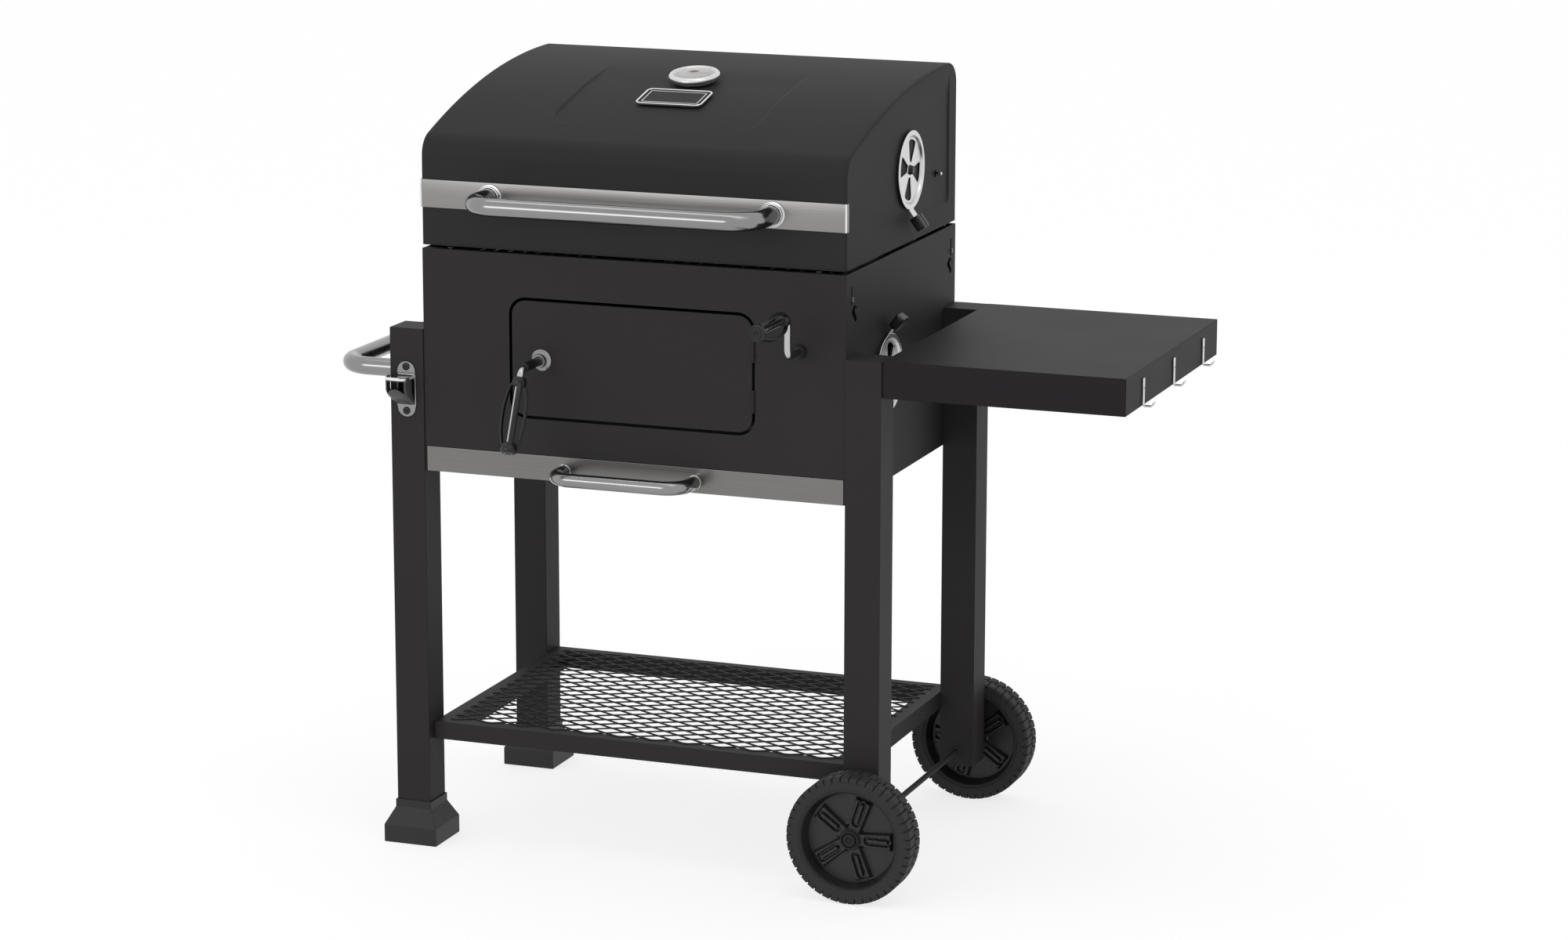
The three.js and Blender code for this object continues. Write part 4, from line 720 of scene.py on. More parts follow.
# Disc: between each slot and its quarter the sheet is a ring of (radius, angle) points, from the
# superellipse |a|^7 + |b|^7 = 1 of the slot to the square a, b = +-1 of the quarter
def damperDisc(name, centre, side):
    count = damper["steps"]
    edge = np.linspace(-1, 1, count, endpoint=False)
    one = np.ones(count)
    square = np.concatenate([np.stack([edge, -one], 1), np.stack([one, edge], 1),
                             np.stack([-edge, one], 1), np.stack([-one, -edge], 1)])
    wedge = superellipse(square, damper["slotPower"])
    inner, outer = damper["slots"]
    hole = np.stack([(outer + inner) / 2 + wedge[:, 0] * (outer - inner) / 2,
                     wedge[:, 1] * math.radians(damper["slotHalf"])], 1)
    bore, dish = damper["hole"], damper["dish"]
    quarter = np.stack([(dish + bore) / 2 + square[:, 0] * (dish - bore) / 2,
                        square[:, 1] * math.pi / 4], 1)
    share = np.linspace(0, 1, 6)[:, None, None]
    ring = hole + (quarter - hole) * share
    quarterTurn = 90 + damper["slotTurn"]
    low, high, radius = damper["low"], damper["high"], damper["radius"]
    shapes = []
    for i in range(4):
        angle = math.radians(quarterTurn + 90 * i) + ring[..., 1]
        shapes.append(gridShape(polar(centre, side, ring[..., 0], angle, low), wrapColumns=True))
    angle = math.radians(quarterTurn + 45) + np.arange(4 * count) / (4 * count) * 2 * math.pi
    edge, foot = damper["edge"], damper["grooveFoot"]
    start, drop, rise, end = [dish + reach for reach in damper["groove"]]
    profile = rounded([(dish, low), (start, low), (drop, foot), (rise, foot), (end, high),
                       (radius - edge, high), (radius, high - edge)], 0.5, 3)
    rim = polar(centre, side, profile[:, :1], angle[None], profile[:, 1:])
    shapes.append(gridShape(rim, wrapColumns=True))
    piece = addPiece(name + "_plate", shapes, [name], finish="satin_steel", sharp=40)
    wall(piece, damper["sheet"], (1, 0, 0))
    bend = math.radians(damper["tabBend"])
    x = high - damper["sheet"] / 2
    corner = np.array([x, radius + damper["tabReach"]])
    tip = corner + damper["tabLength"] * np.array([math.sin(bend), math.cos(bend)])
    path = rounded([(x, radius - damper["tabTuck"]), corner, tip], 3, 5)
    path = np.stack([centre[0] + path[:, 0], np.full(len(path), centre[1]),
                     centre[2] + side * path[:, 1]], 1)
    section = rectangle(damper["sheet"], damper["tab"], 0.3, 2)
    addDetail(name + "_tab", swept(path, (0, 1, 0), section), "satin_steel", bodyOf(name), "chrome")


# Rows are (place along a knob 16 long, share of its full section)
knob = {
    "size": (24, 14, 20), "foot": 10.8, "reach": 0.5, "power": 5, "groove": (0.3, 1.5), "rowsLong": 16,
    "rows": [(0, 0.84), (0.12, 0.93), (0.5, 0.98), (1.4, 1), (3, 1), (13, 1), (14.6, 0.97), (15.5, 0.91),
             (15.9, 0.83), (16, 0.7)],
}


# Knob: rows of superellipses |u|^5 + |v|^5 = 1 along the tab, waisted by a groove down the middle,
# where the thickness is times 1 - depth exp(-(u / width)^2)
def damperKnob(name, centre, side):
    wide, thick, long = knob["size"]
    bend = math.radians(damper["tabBend"])
    ahead = np.array([math.sin(bend), 0, side * math.cos(bend)])
    aside = np.array([0, 1.0, 0])
    over = np.cross(aside, ahead)
    rise = np.array([damper["high"] - damper["sheet"] / 2, 0, side * (damper["radius"] + knob["reach"])])
    root = np.array(centre) + rise + ahead * knob["foot"]
    ring = superellipse(circle(1, 64), knob["power"])
    along, size = np.array(knob["rows"]).T
    along = along / knob["rowsLong"] * long
    depth, width = knob["groove"]
    groove = 1 - depth * np.exp(-(ring[:, 0] * wide / 2 / width) ** 2)
    u = ring[:, 0] * wide / 2 * size[:, None]
    v = ring[:, 1] * thick / 2 * size[:, None] * groove
    rows = root + along[:, None, None] * ahead + u[..., None] * aside + v[..., None] * over
    addPiece(name + "_grip", capped(rows), [name], sharp=45)


# Wedge cutters through a wall, standing where the damper's slots uncover them
def ventCutters(centre, turn):
    inner, outer = damper["slots"]
    swing, gap = damper["ventSlack"]
    half = math.radians(damper["slotHalf"] - swing)
    shapes = []
    for i in range(4):
        loop = directions(math.radians(90 + turn + 90 * i) + np.linspace(-half, half, 9))
        loop = np.concatenate([loop * (outer - gap), loop[[-1, 0]] * (inner + gap)]) + centre[1:]
        shapes += capped(np.stack([np.column_stack([np.full(len(loop), centre[0] + x), loop])
                                   for x in (-damper["ventDepth"], damper["ventDepth"])]))
    return shapes


def cutOpen(piece, shapes):  # takes the shapes out of a piece and keeps the result as its mesh
    cutter = bpy.data.objects.new("cutter", joined("cutter", shapes))
    bpy.context.scene.collection.objects.link(cutter)
    addModifier(piece, "BOOLEAN", object=cutter, solver="EXACT")
    shaped = piece.evaluated_get(bpy.context.evaluated_depsgraph_get())
    piece.data = bpy.data.meshes.new_from_object(shaped)
    piece.modifiers.clear()
    bpy.data.objects.remove(cutter)


lidCover()
lidEnd("lid_left_end", lidLow[0], -1)
rightEnd = lidEnd("lid_right_end", lidHigh[0], 1)
low, high = nodeBox("lid_damper_disc")
lidVent = np.array([lidHigh[0], (low[1] + high[1]) / 2, high[2] - damper["radius"]])
cutOpen(rightEnd, ventCutters(lidVent, damper["slotTurn"] + damper["ventTurn"]))
lidBand()
frontHandle("lid_handle")
heatGauge()
badgePlate()
low, high = nodeBox("firebox_damper_disc")
boxVent = np.array([lidHigh[0], (low[1] + high[1]) / 2, low[2] + damper["radius"]])
for place, vent, side, body in (("lid", lidVent, -1, "lid"), ("firebox", boxVent, 1, "cart")):
    damperDisc(place + "_damper_disc", vent, side)
    damperKnob(place + "_damper_knob", vent, side)
    rivet = turned(rounded(damper["rivet"], 0.5, 4), vent, (1, 0, 0), 40)
    addDetail(place + "_damper_rivet", rivet, "black_plastic", body, "powder_coat")

# Marks on the right walls: a small screw beside a T slot on the lid, and curved slots on the firebox. The
# slots and holes are not cut: each is a near-black plate, painted shade for its dark inside.
# Each slot's middle line is y = wave sin(2 pi t + phase) + lean t, z = -long t for t from 0 to 1, and
# its half width is wide sqrt(sin(pi t')), with t' drawn in from both ends.
marks = {
    "sunk": 0.3, "proud": 0.12,
    "screwAt": (387, 922), "screw": [(0, -0.5), (2.4, -0.5), (2.4, 1.0), (1.7, 1.8), (0, 2)],
    "slotAt": (364, 925), "slot": [(-2.6, -4.8), (2.6, -4.8), (2.6, -1.2), (12, -1.2), (12, 1.2), (2.6, 1.2),
                                   (2.6, 4.8), (-2.6, 4.8)],
    "curvesAt": (31, 428), "curveTop": 797, "wave": 3.6, "phase": 2.4, "lean": 3, "long": 22, "wide": 5.6,
    "ends": 0.06, "dotAt": (7.5, -3.5), "dotRadius": 2.4,
}


# Painted shade: a near-black plate stands for the dark inside of a slot or hole
def wallMark(name, outline, y, z, body):  # a thin plate whose face stands just proud of the wall
    sunk = marks["sunk"]
    seat = ((lidHigh[0] - sunk, y, z), (0, 1, 0), (0, 0, 1))
    shape = plate(np.array(outline, float), 0, sunk + marks["proud"], 0.05, seat)
    addDetail(name, shape, "dark_hole", body, "powder_coat")


screw = turned(rounded(marks["screw"], 0.4, 3), (lidHigh[0], *marks["screwAt"]), (1, 0, 0), 24)
addDetail("lid_side_screw", screw, "bright_steel", "lid", "chrome")
wallMark("lid_side_slot", marks["slot"], *marks["slotAt"], "lid")
share, ends = np.linspace(0, 1, 25), marks["ends"]
wave = marks["wave"] * np.sin(share * 2 * math.pi + marks["phase"]) + marks["lean"] * share
wide = marks["wide"] * np.sin(math.pi * (ends + (1 - 2 * ends) * share)) ** 0.5
left, right = [np.stack([wave + side * wide, -marks["long"] * share], 1) for side in (-1, 1)]
curve, dot = np.concatenate([left, right[::-1]]), circle(marks["dotRadius"], 20)
for i, y in enumerate(marks["curvesAt"], 1):
    top, (aside, above) = marks["curveTop"], marks["dotAt"]
    wallMark("firebox_side_slot_%d" % i, curve, y, top, "cart")
    wallMark("firebox_side_hole_%d" % i, dot, y + aside, top + above, "cart")
print("lid and dampers made")


# Side handle, latch and crank

sideLow, sideHigh = nodeBox("side_handle")
sideTube = handles["side_handle"]["tube"]
sideZ = (sideLow[2] + sideHigh[2]) / 2
sideFeet = [(sideHigh[0], sideLow[1] + sideTube, sideZ), (sideHigh[0], sideHigh[1] - sideTube, sideZ)]
tubeHandle("side_handle", sideFeet, (sideLow[0] + sideTube - sideHigh[0], 0, 0), (0, 0, 1))
frontHandle("drawer_handle")

grip = {
    "rod": 5, "bend": 11, "start": 12, "bow": (2.8, 6.4), "bowCorner": 1.1, "first": -56,
    "foot": 7.5, "bulge": 17.2, "heights": (6, 20, 82, 97),
    "collar": [(4.6, 0), (8.6, 0), (9.4, 3), (10, 6), (9.4, 9.6), (8.8, 12), (6.2, 13), (4.6, 13)],
    "cap": [(0, 89), (6.2, 89), (9, 90.5), (10.6, 94), (12, 99), (11.6, 101.6), (10.4, 104), (8.8, 104),
            (8.5, 103.2), (6.8, 103.2), (6.5, 104), (3.9, 104), (3.6, 102.8), (0, 102.8)],
    "cross": (5.6, 1.1), "crossHeights": (102.6, 103.6),
}


# Cage: a collar, an end cap with a cross, and three bows, each on a cubic curve
# p = (1-t)^3 a + 3 (1-t)^2 t b + 3 (1-t) t^2 c + t^3 d, whose middle reaches the bulge
def cageGrip(node, centre, axis):
    axis = unit(np.array(axis, float))
    right = np.array([1.0, 0, 0])
    over = np.cross(axis, right)
    shapes = turned(rounded(grip["collar"], 0.8, 4), centre, axis, 40, closed=True)
    shapes += turned(rounded(grip["cap"], 0.5, 3), centre, axis, 48)
    for u, v in ((right, over), (over, -right)):
        shapes += plate(rectangle(*grip["cross"], 0.2, 1), *grip["crossHeights"], 0.1, (centre, u, v))
    foot, control = grip["foot"], (8 * grip["bulge"] - 2 * grip["foot"]) / 6
    a, b, c, d = np.column_stack([(foot, control, control, foot), grip["heights"]])
    t = np.linspace(0, 1, 33)[:, None]
    curve = (1 - t) ** 3 * a + 3 * (1 - t) ** 2 * t * b + 3 * (1 - t) * t * t * c + t**3 * d
    for i in range(3):
        angle = math.radians(grip["first"]) + 2 * math.pi * i / 3
        toBow = right * math.cos(angle) + over * math.sin(angle)
        path = centre + curve[:, :1] * toBow + curve[:, 1:] * axis
        shapes += swept(path, np.cross(axis, toBow), rectangle(*grip["bow"], grip["bowCorner"], 4))
    addPiece(node + "_cage", shapes, [node])


crankLow, crankHigh = nodeBox("crank_handle")
rod = grip["rod"]
crankX, crankZ, gripZ = crankLow[0] + rod, crankLow[2] + rod, crankHigh[2] - rod
gripEnd = nodeBox("crank_grip")[1][1]
elbow = gripEnd + grip["start"]
crankPath = [(crankX, crankHigh[1], crankZ), (crankX, elbow, crankZ), (crankX, elbow, gripZ),
             (crankX, crankLow[1], gripZ)]
addPiece("crank_handle_rod", swept(rounded(crankPath, grip["bend"], 10), (1, 0, 0), circle(rod, 28)),
         ["crank_handle"], "rod_steel")
cageGrip("crank_grip", np.array([crankX, gripEnd, gripZ]), (0, -1, 0))
bushing = [(5.3, -3.5), (7.4, -3.5), (7.4, 0.3), (9.5, 0.3), (9.5, 4.0), (8.9, 5.2), (8.1, 5.2),
           (7.8, 4.2), (7.2, 4.2), (6.9, 6.0), (5.3, 6.0)]
boss = turned(rounded(bushing, 0.3, 3), (crankX, 0, crankZ), (0, -1, 0), 48, closed=True)
addPiece("crank_bushing_boss", boss, ["crank_bushing"])

latch = {
    "lean": 24, "elbow": -66, "cam": (67, 6.9, 3.0), "sleeve": [(0, 12), (6.1, 12), (6.1, 57), (0, 57)],
    "rose": [(5.3, 0.3), (15, 0.3), (15, 1.2), (14.2, 1.8), (10.4, 4.9), (10.0, 4.2), (9.3, 4.2), (8.9, 9.4),
             (8.2, 10), (6.6, 10), (6.2, 8.4), (5.3, 8.4)],
}
latchLow, latchHigh = nodeBox("latch_handle")
roseLow, roseHigh = nodeBox("latch_escutcheon")
latchX, latchZ = (latchLow[0] + latchHigh[0]) / 2, (roseLow[2] + roseHigh[2]) / 2
lean = math.radians(latch["lean"])
down = np.array([0, -math.sin(lean), -math.cos(lean)])
latchElbow = np.array([latchX, latch["elbow"], latchZ])
reach = (latchElbow[2] - latchLow[2] - rod * math.sin(lean)) / math.cos(lean)
latchPath = [(latchX, latchHigh[1], latchZ), latchElbow, latchElbow + down * reach]
latchRod = swept(rounded(latchPath, grip["bend"], 10), (1, 0, 0), circle(rod, 28))
long, corner, thick = latch["cam"]
camSeat = ((latchX, latchHigh[1], latchHigh[2] - long / 2), (1, 0, 0), (0, 0, 1))
cam = plate(rectangle(latchHigh[0] - latchLow[0], long, corner, 8), 0, thick, 0.3, camSeat)
addPiece("latch_handle_rod", latchRod + cam, ["latch_handle"], "rod_steel")
# A black sleeve over the chrome shaft: painted reflection, where the shaft mirrors the dark door
sleeve = turned(rounded(latch["sleeve"], 0.8, 3), (latchX, 0, latchZ), (0, -1, 0), 32)
addDetail("latch_handle_painted_dark_reflection", sleeve, "black_plastic", "latch", "black_plastic")
cageGrip("latch_grip", latchElbow + down * grip["start"], down)
rose = turned(rounded(latch["rose"], 0.4, 3), (latchX, 0, latchZ), (0, -1, 0), 56, closed=True)
addPiece("latch_escutcheon_rose", rose, ["latch_escutcheon"])
print("handles, latch and crank made")


# Hooks and bottle opener

hook = {
    "thick": 2, "bend": 3, "hole": 13, "lean": 4, "rise": 8, "narrow": 0.82, "top": (0.07, 0.35),
    "tipShares": (0.7, 0.35, 0.1), "tipWidths": (1, 0.93, 0.7, 0.4),
    "spot": [(0, 0), (1.25, 0), (1.25, 0.12), (0, 0.12)],
}


# Strip: a section that narrows below its hole, down, out under the shelf's edge and up to a round tip:
# point = path + thickness across + width along Y, each times its own share
def toolHook(node):
    low, high = nodeBox(node)
    t, y = hook["thick"], (low[1] + high[1]) / 2
    x, z = low[0] + t / 2, low[2] + t / 2
    tip = (high[0] - t / 2, z + hook["rise"] - t / 2)
    corners = [(x, high[2]), (x, high[2] - hook["hole"] - 4), (x, z), (tip[0] - hook["lean"], z), tip]
    path = rounded(corners, hook["bend"], 6)
    edge, thinned = hook["top"]
    path = np.insert(path, 1, path[0] + (path[1] - path[0]) * edge, 0)
    tips = [path[-1] + (path[-2] - path[-1]) * share for share in hook["tipShares"]]
    path = np.insert(path, -1, tips, 0)
    width = np.where(path[:, 1] > high[2] - hook["hole"] - 3, 1, hook["narrow"])
    width[-4:] *= hook["tipWidths"]
    thick = np.ones(len(path))
    thick[0] = thinned
    across = unit(np.gradient(path, axis=0))[:, ::-1] * [-1, 1]
    section = rectangle(t, high[1] - low[1], 0.3, 2)
    flat = path[:, None] + across[:, None] * section[None, :, :1] * thick[:, None, None]
    wide = y + section[None, :, 1] * width[:, None]
    rows = np.stack([flat[..., 0], wide, flat[..., 1]], -1)
    addPiece(node + "_strip", capped(rows), [node], "satin_steel")
    # A thin black disc at the hook's hole: painted shade in place of the hole
    seat = (low[0] + t, y, high[2] - hook["hole"])
    spot = turned(rounded(hook["spot"], 0.05, 1), seat, (1, 0, 0), 20)
    addDetail(node + "_hole", spot, "black_plastic", "cart", "powder_coat")


for node in ("tool_hook_1", "tool_hook_2", "tool_hook_3"):
    toolHook(node)

# The window is (half width, sill's middle, sill's ends, top) and the screw's head (share of radius, height)
opener = {
    "sheet": 2, "ear": 13.2, "shoulder": 1, "hood": (16, 56), "lean": 8.5, "flare": 3.5, "middle": 13,
    "out": 21.5, "upright": 0.62, "wall": 1.2, "window": (13, 24, 17, 35.5), "windowSwing": 1.2,
    "teeth": (2.6, 2.2), "lip": (0.93, 1.8, 0.9, 0.35), "ledge": (2.2, 2.5, 1.4), "shade": (2, 6, 0.4),
    "screws": (8.5, 70), "screwRadius": 5.4, "cross": (0.66, 0.16), "crossHeights": (1.4, 2.0),
    "head": [(0, 0), (1, 0), (1, 0.9), (0.78, 2.0), (0.42, 2.3), (0.36, 1.6), (0, 1.5)],
}


# Screw: a pan head whose cross is two thin bars sunk in a dimple
def panScrew(name, centre, axis, radius, body):
    profile = np.array(opener["head"]) * (radius, 1)
    shapes = turned(rounded(profile, 0.35, 3), centre, axis, 32)
    axis = unit(np.array(axis, float))
    u = unit(np.cross(axis, (0.2, 0.1, 1)))
    bar = rectangle(*(radius * share for share in opener["cross"]), 0.05, 1)
    for a, b in ((u, np.cross(axis, u)), (np.cross(axis, u), -u)):
        shapes += plate(bar, *opener["crossHeights"], 0.05, (centre, a, b))
    addDetail(name, shapes, "black_plastic", body, "black_plastic")


# Opener: two round ears on a plate; a hood rises out of it like half a funnel. Around the hood
# (a, b) = (cos t, sin t) / (|cos t|^4 + |sin t|^4)^(1/4); x = middle - side a, y = back - out b
def hoodPoints(centre, foot, head, share, swing):
    rise = np.sin(np.clip(share / opener["upright"], 0, 1) * math.pi / 2)
    a, b = np.cos(swing), np.sin(swing)
    size = (a**4 + b**4) ** 0.25
    across = -(opener["ear"] + 0.5 + opener["flare"] * rise) * a / size
    x = centre[0] - opener["lean"] * rise + across
    y = centre[1] - 0.5 - opener["out"] * rise * b / size
    return np.stack([x, y, foot + (head - foot) * share + 0 * x], -1), across


def bottleOpener():
    low, high = nodeBox("bottle_opener")
    sheet, r = opener["sheet"], opener["ear"]
    half = r + opener["shoulder"]
    centre = np.array([high[0] - opener["middle"], high[1], 0])
    foot, head = low[2] + opener["hood"][0], low[2] + opener["hood"][1]
    swing = np.linspace(0, math.pi, 17)
    crown = np.stack([r * np.cos(swing), high[2] - r + r * np.sin(swing)], 1)
    base = np.stack([-r * np.cos(swing), low[2] + r - r * np.sin(swing)], 1)
    outline = np.concatenate([base, [(half, foot), (half, head)], crown, [(-half, head), (-half, foot)]])
    flat = (centre, (1, 0, 0), (0, 0, 1))
    addPiece("bottle_opener_plate", plate(outline, 0, sheet, 0.35, flat), ["bottle_opener"])
    # A near-black sheet behind the hood's window: painted shade inside the hood
    narrow, short, thick = opener["shade"]
    field = rectangle(2 * r - narrow, head - foot - short, 2, 3) + [0, (foot + head) / 2]
    addDetail("bottle_opener_shade", plate(field, sheet, sheet + thick, 0.1, flat), "dark_hole", "cart",
              "black_plastic")
    share, swing = np.linspace(0, 1, 101)[:, None], np.linspace(0.02, math.pi - 0.02, 141)[None]
    points, across = hoodPoints(centre, foot, head, share, swing)
    wide, middle, ends, top = opener["window"]
    pitch, deep = opener["teeth"]
    lower = ends + (middle - ends) * (1 - (across / wide) ** 2) + deep * np.abs((across / pitch) % 1 - 0.5)
    lift = points[..., 2] - foot
    ahead = np.abs(swing - math.pi / 2) < opener["windowSwing"]
    hidden = (np.abs(across) < wide) & ahead & (lift > lower) & (lift < top)
    shape, (faces,) = gridShape(points)
    # The hood's steel is painted dark: painted shade and reflection
    hood = addDetail("bottle_opener_hood", [(shape, [faces[~hidden[:-1, :-1].reshape(-1)]])],
                     "painted_shade_steel", "cart", "chrome", sharp=50)
    wall(hood, opener["wall"], (0, -1, 0))
    # The lip is the hood's rolled rim, a real edge; its bright steel against the hood's painted shade is a
    # painted highlight
    start, back, over, proud = opener["lip"]
    rim = hoodPoints(centre, foot, head, np.array([[start], [1.0]]), swing)[0]
    rows = np.concatenate([rim, rim[1:] + (0, back, over), rim[:1] + (0, back, 0)])
    addDetail("bottle_opener_lip", [gridShape(rows - (0, proud, 0), wrapRows=True)], "bright_steel",
              "cart", "chrome", sharp=50)
    deep, lifted, proud = opener["ledge"]
    ledge = plate(rectangle(2 * r - 3, deep, 0.5, 3), sheet - 0.2, sheet + proud, 0.4,
                  (centre + (0, 0, head + lifted), (1, 0, 0), (0, 0, 1)))
    addDetail("bottle_opener_ledge", ledge, "bright_steel", "cart", "chrome")
    for i, height in enumerate(opener["screws"]):
        panScrew("bottle_opener_screw_%d" % (i + 1), (centre[0], high[1] - sheet, low[2] + height),
                 (0, -1, 0), opener["screwRadius"], "cart")


bottleOpener()
print("hooks and opener made")


# Wheels

# The tyre's values, with its blocks as shares of a pitch; step is (drawn in, lower and upper radius
# over the bore), bead is (radius, half width, depth)
tread = {
    "pitches": 44, "perPitch": 24, "relief": 2.4, "block": 0.86, "edge": 0.035, "lean": 0.06,
    "middle": 0.8, "middleEdge": 0.7, "zig": 1.6, "shoulder": 4, "reach": (3, 2),
    "step": (1.5, 3, 4), "bead": (79.5, 0.8, 0.5), "tuck": 0.5,
}


# Section of the tyre as (along the axle, radius), from inner lip to inner lip, with its normals
def tyreSection(outer, inner, half):
    corner, (tuck, low, high) = tread["shoulder"], tread["step"]
    path = [(tuck - half, inner), (tuck - half, inner + low), (-half, inner + high),
            (-half, outer - corner - 4)]
    swing = np.linspace(0, math.pi / 2, 9)
    bend = np.stack([np.cos(swing), -np.sin(swing)], 1) * -corner + (corner - half, outer - corner)
    side = rounded(path, 1.2, 3)
    side = np.concatenate([side, [[-half, outer - corner - tuck]]])
    flat = np.linspace(-half + corner, 0, 16)[1:-1]
    flat = np.stack([flat, np.full_like(flat, outer)], 1)
    part = np.concatenate([side, bend, flat])
    points = np.concatenate([part, [[0, outer]], part[::-1] * [-1, 1]])
    along = unit(np.gradient(points, axis=0))
    return points, np.stack([-along[:, 1], along[:, 0]], 1)


# Tread: two rows of blocks, half a pitch apart; depth = relief where a cross gap or the zigzag gap
# between the rows runs, and a fine bead groove round each wall
def tyre(node):
    low, high = nodeBox(node)
    centre = (low + high) / 2
    outer, half = (high[2] - low[2]) / 2, (high[1] - low[1]) / 2
    section, normal = tyreSection(outer, wheel["rim"] - tread["tuck"], half)
    steps = tread["pitches"] * tread["perPitch"]
    share = np.arange(steps)[None] / steps
    u, radius = section[:, :1], section[:, 1:]
    pitch, edge = share * tread["pitches"], tread["edge"]
    phase = (pitch + np.where(u > 0, 0.5, 0) + tread["lean"] * np.abs(u) / half) % 1
    block = smooth(phase / edge) * smooth((tread["block"] - phase) / edge + 1)
    zig = u + tread["zig"] * np.where(pitch % 1 < 0.5, 1, -1)
    middle = smooth((np.abs(zig) - tread["middle"]) / tread["middleEdge"])
    shoulder, (reach, fade) = outer - tread["shoulder"], tread["reach"]
    depth = tread["relief"] * (1 - block * middle) * smooth((radius - (shoulder - reach)) / fade)
    place, halfWide, deep = tread["bead"]
    bead = deep * smooth(1 - np.abs(radius - place) / halfWide) * (radius < shoulder)
    u = u - normal[:, :1] * (depth + bead)
    radius = radius - normal[:, 1:] * depth
    angle = share * 2 * math.pi
    points = np.stack([centre[0] + radius * np.cos(angle), centre[1] + u,
                       centre[2] + radius * np.sin(angle)], -1)
    rows = np.concatenate([points, points[:1]])
    addPiece(node + "_tread", [gridShape(rows, wrapColumns=True)], [node], sharp=38)


# The wheel's values. A pad is (inner radius, outer radius, half width), its taper (narrower at the
# hub, wider outward), its edge (soft width, share outside, reach under the hub), its slot the groove's
# two centres, and its groove (radius, half width, soft width, depth). The ring is (height, radius,
# half width).
wheel = {
    "rim": 68, "axle": 4.4, "lip": 67, "wall": 5.6, "lipHalf": 20.5, "dish": 2.0, "steps": 360,
    "hub": 16, "hubHalf": 22, "sunkHub": 12, "hubEdge": 4, "ring": (1.4, 20, 2.2),
    "pads": 5, "pad": (17, 57, 11.5), "padHigh": 8.0, "padTaper": (2.2, 2.6), "padEdge": (2.6, 0.3, 6),
    "slot": (25, 50), "groove": (4.2, 1.9, 1.2, 5.2),
}


# Face of the rim as a height over (radius, angle): lip, dish, hub with a ring round it, and pads, each
# with a racetrack groove; the height is dish + lip + max(pads, hub) + ring
def rimHeight(radius, angle, turn, hubHalf):
    x, z = radius * np.cos(angle), radius * np.sin(angle)
    dish, pads = wheel["dish"], 0
    near, far, half = wheel["pad"]
    narrowed, widened = wheel["padTaper"]
    soft, outside, under = wheel["padEdge"]
    groove, grooveHalf, grooveSoft, deep = wheel["groove"]
    height = dish + (wheel["lipHalf"] - dish) * smooth((radius - wheel["lip"]) / wheel["wall"] + 1)
    for i in range(wheel["pads"]):
        along = turn + 2 * math.pi * i / wheel["pads"]
        u = x * math.cos(along) + z * math.sin(along)
        v = -x * math.sin(along) + z * math.cos(along)
        wide = half - narrowed + widened * np.clip((u - near) / (far - near), 0, 1)
        inside = np.minimum(np.minimum(u - near + under, far - u), wide - np.abs(v))
        slot = np.abs(np.hypot(u - np.clip(u, *wheel["slot"]), v) - groove)
        cut = deep * smooth((grooveHalf - slot) / grooveSoft + 0.5) * (inside > 0.5)
        pads = np.maximum(pads, wheel["padHigh"] * smooth(inside / soft + outside) - cut)
    hub = (hubHalf - dish) * smooth((wheel["hub"] - radius) / wheel["hubEdge"] + 0.5)
    ringHigh, ringRadius, ringHalf = wheel["ring"]
    ring = ringHigh * smooth(1 - np.abs(radius - ringRadius) / ringHalf)
    return height + np.maximum(pads, hub) + ring * (pads < 1)


# Rim: both faces at centre +- height, joined at the bore and at the outer edge
def rim(node, turn, hubHalves):
    low, high = nodeBox(node)
    centre = (low + high) / 2
    radius = stations([wheel["axle"], 12, 22, 57, 66, wheel["rim"]], [4, 14, 54, 26, 2])[:, None]
    angle = np.linspace(0, 2 * math.pi, wheel["steps"] + 1)[None, :-1]
    x, z = radius * np.cos(angle), radius * np.sin(angle)
    heights = [side * rimHeight(radius, angle, turn, half) for side, half in zip((-1, 1), hubHalves)]
    front, back = [np.stack([centre[0] + x, centre[1] + height, centre[2] + z], -1) for height in heights]
    rows = np.concatenate([front, back[::-1], front[:1]])
    addPiece(node + "_face", [gridShape(rows, wrapColumns=True)], [node], finish="wheel_plastic", sharp=34)


axle = {
    "radius": 4, "gap": 0.3,
    "head": [(0, -4), (4, -4), (4, 0), (13, 0), (13, 3.4), (12, 5), (10.6, 5), (10.2, 1.4), (8.8, 1.4),
             (8.4, 5), (7.4, 5.8), (5.2, 5.8), (4.6, 3.4), (2.2, 3.4), (1.6, 4.8), (0, 5)],
    "spacer": [(4, 0), (9, 0), (9, 8.4), (4, 8.4)],
    "washer": [(4, 0), (7.2, 0), (7.2, 1.2), (5.6, 2.4), (4, 2.4)],
}


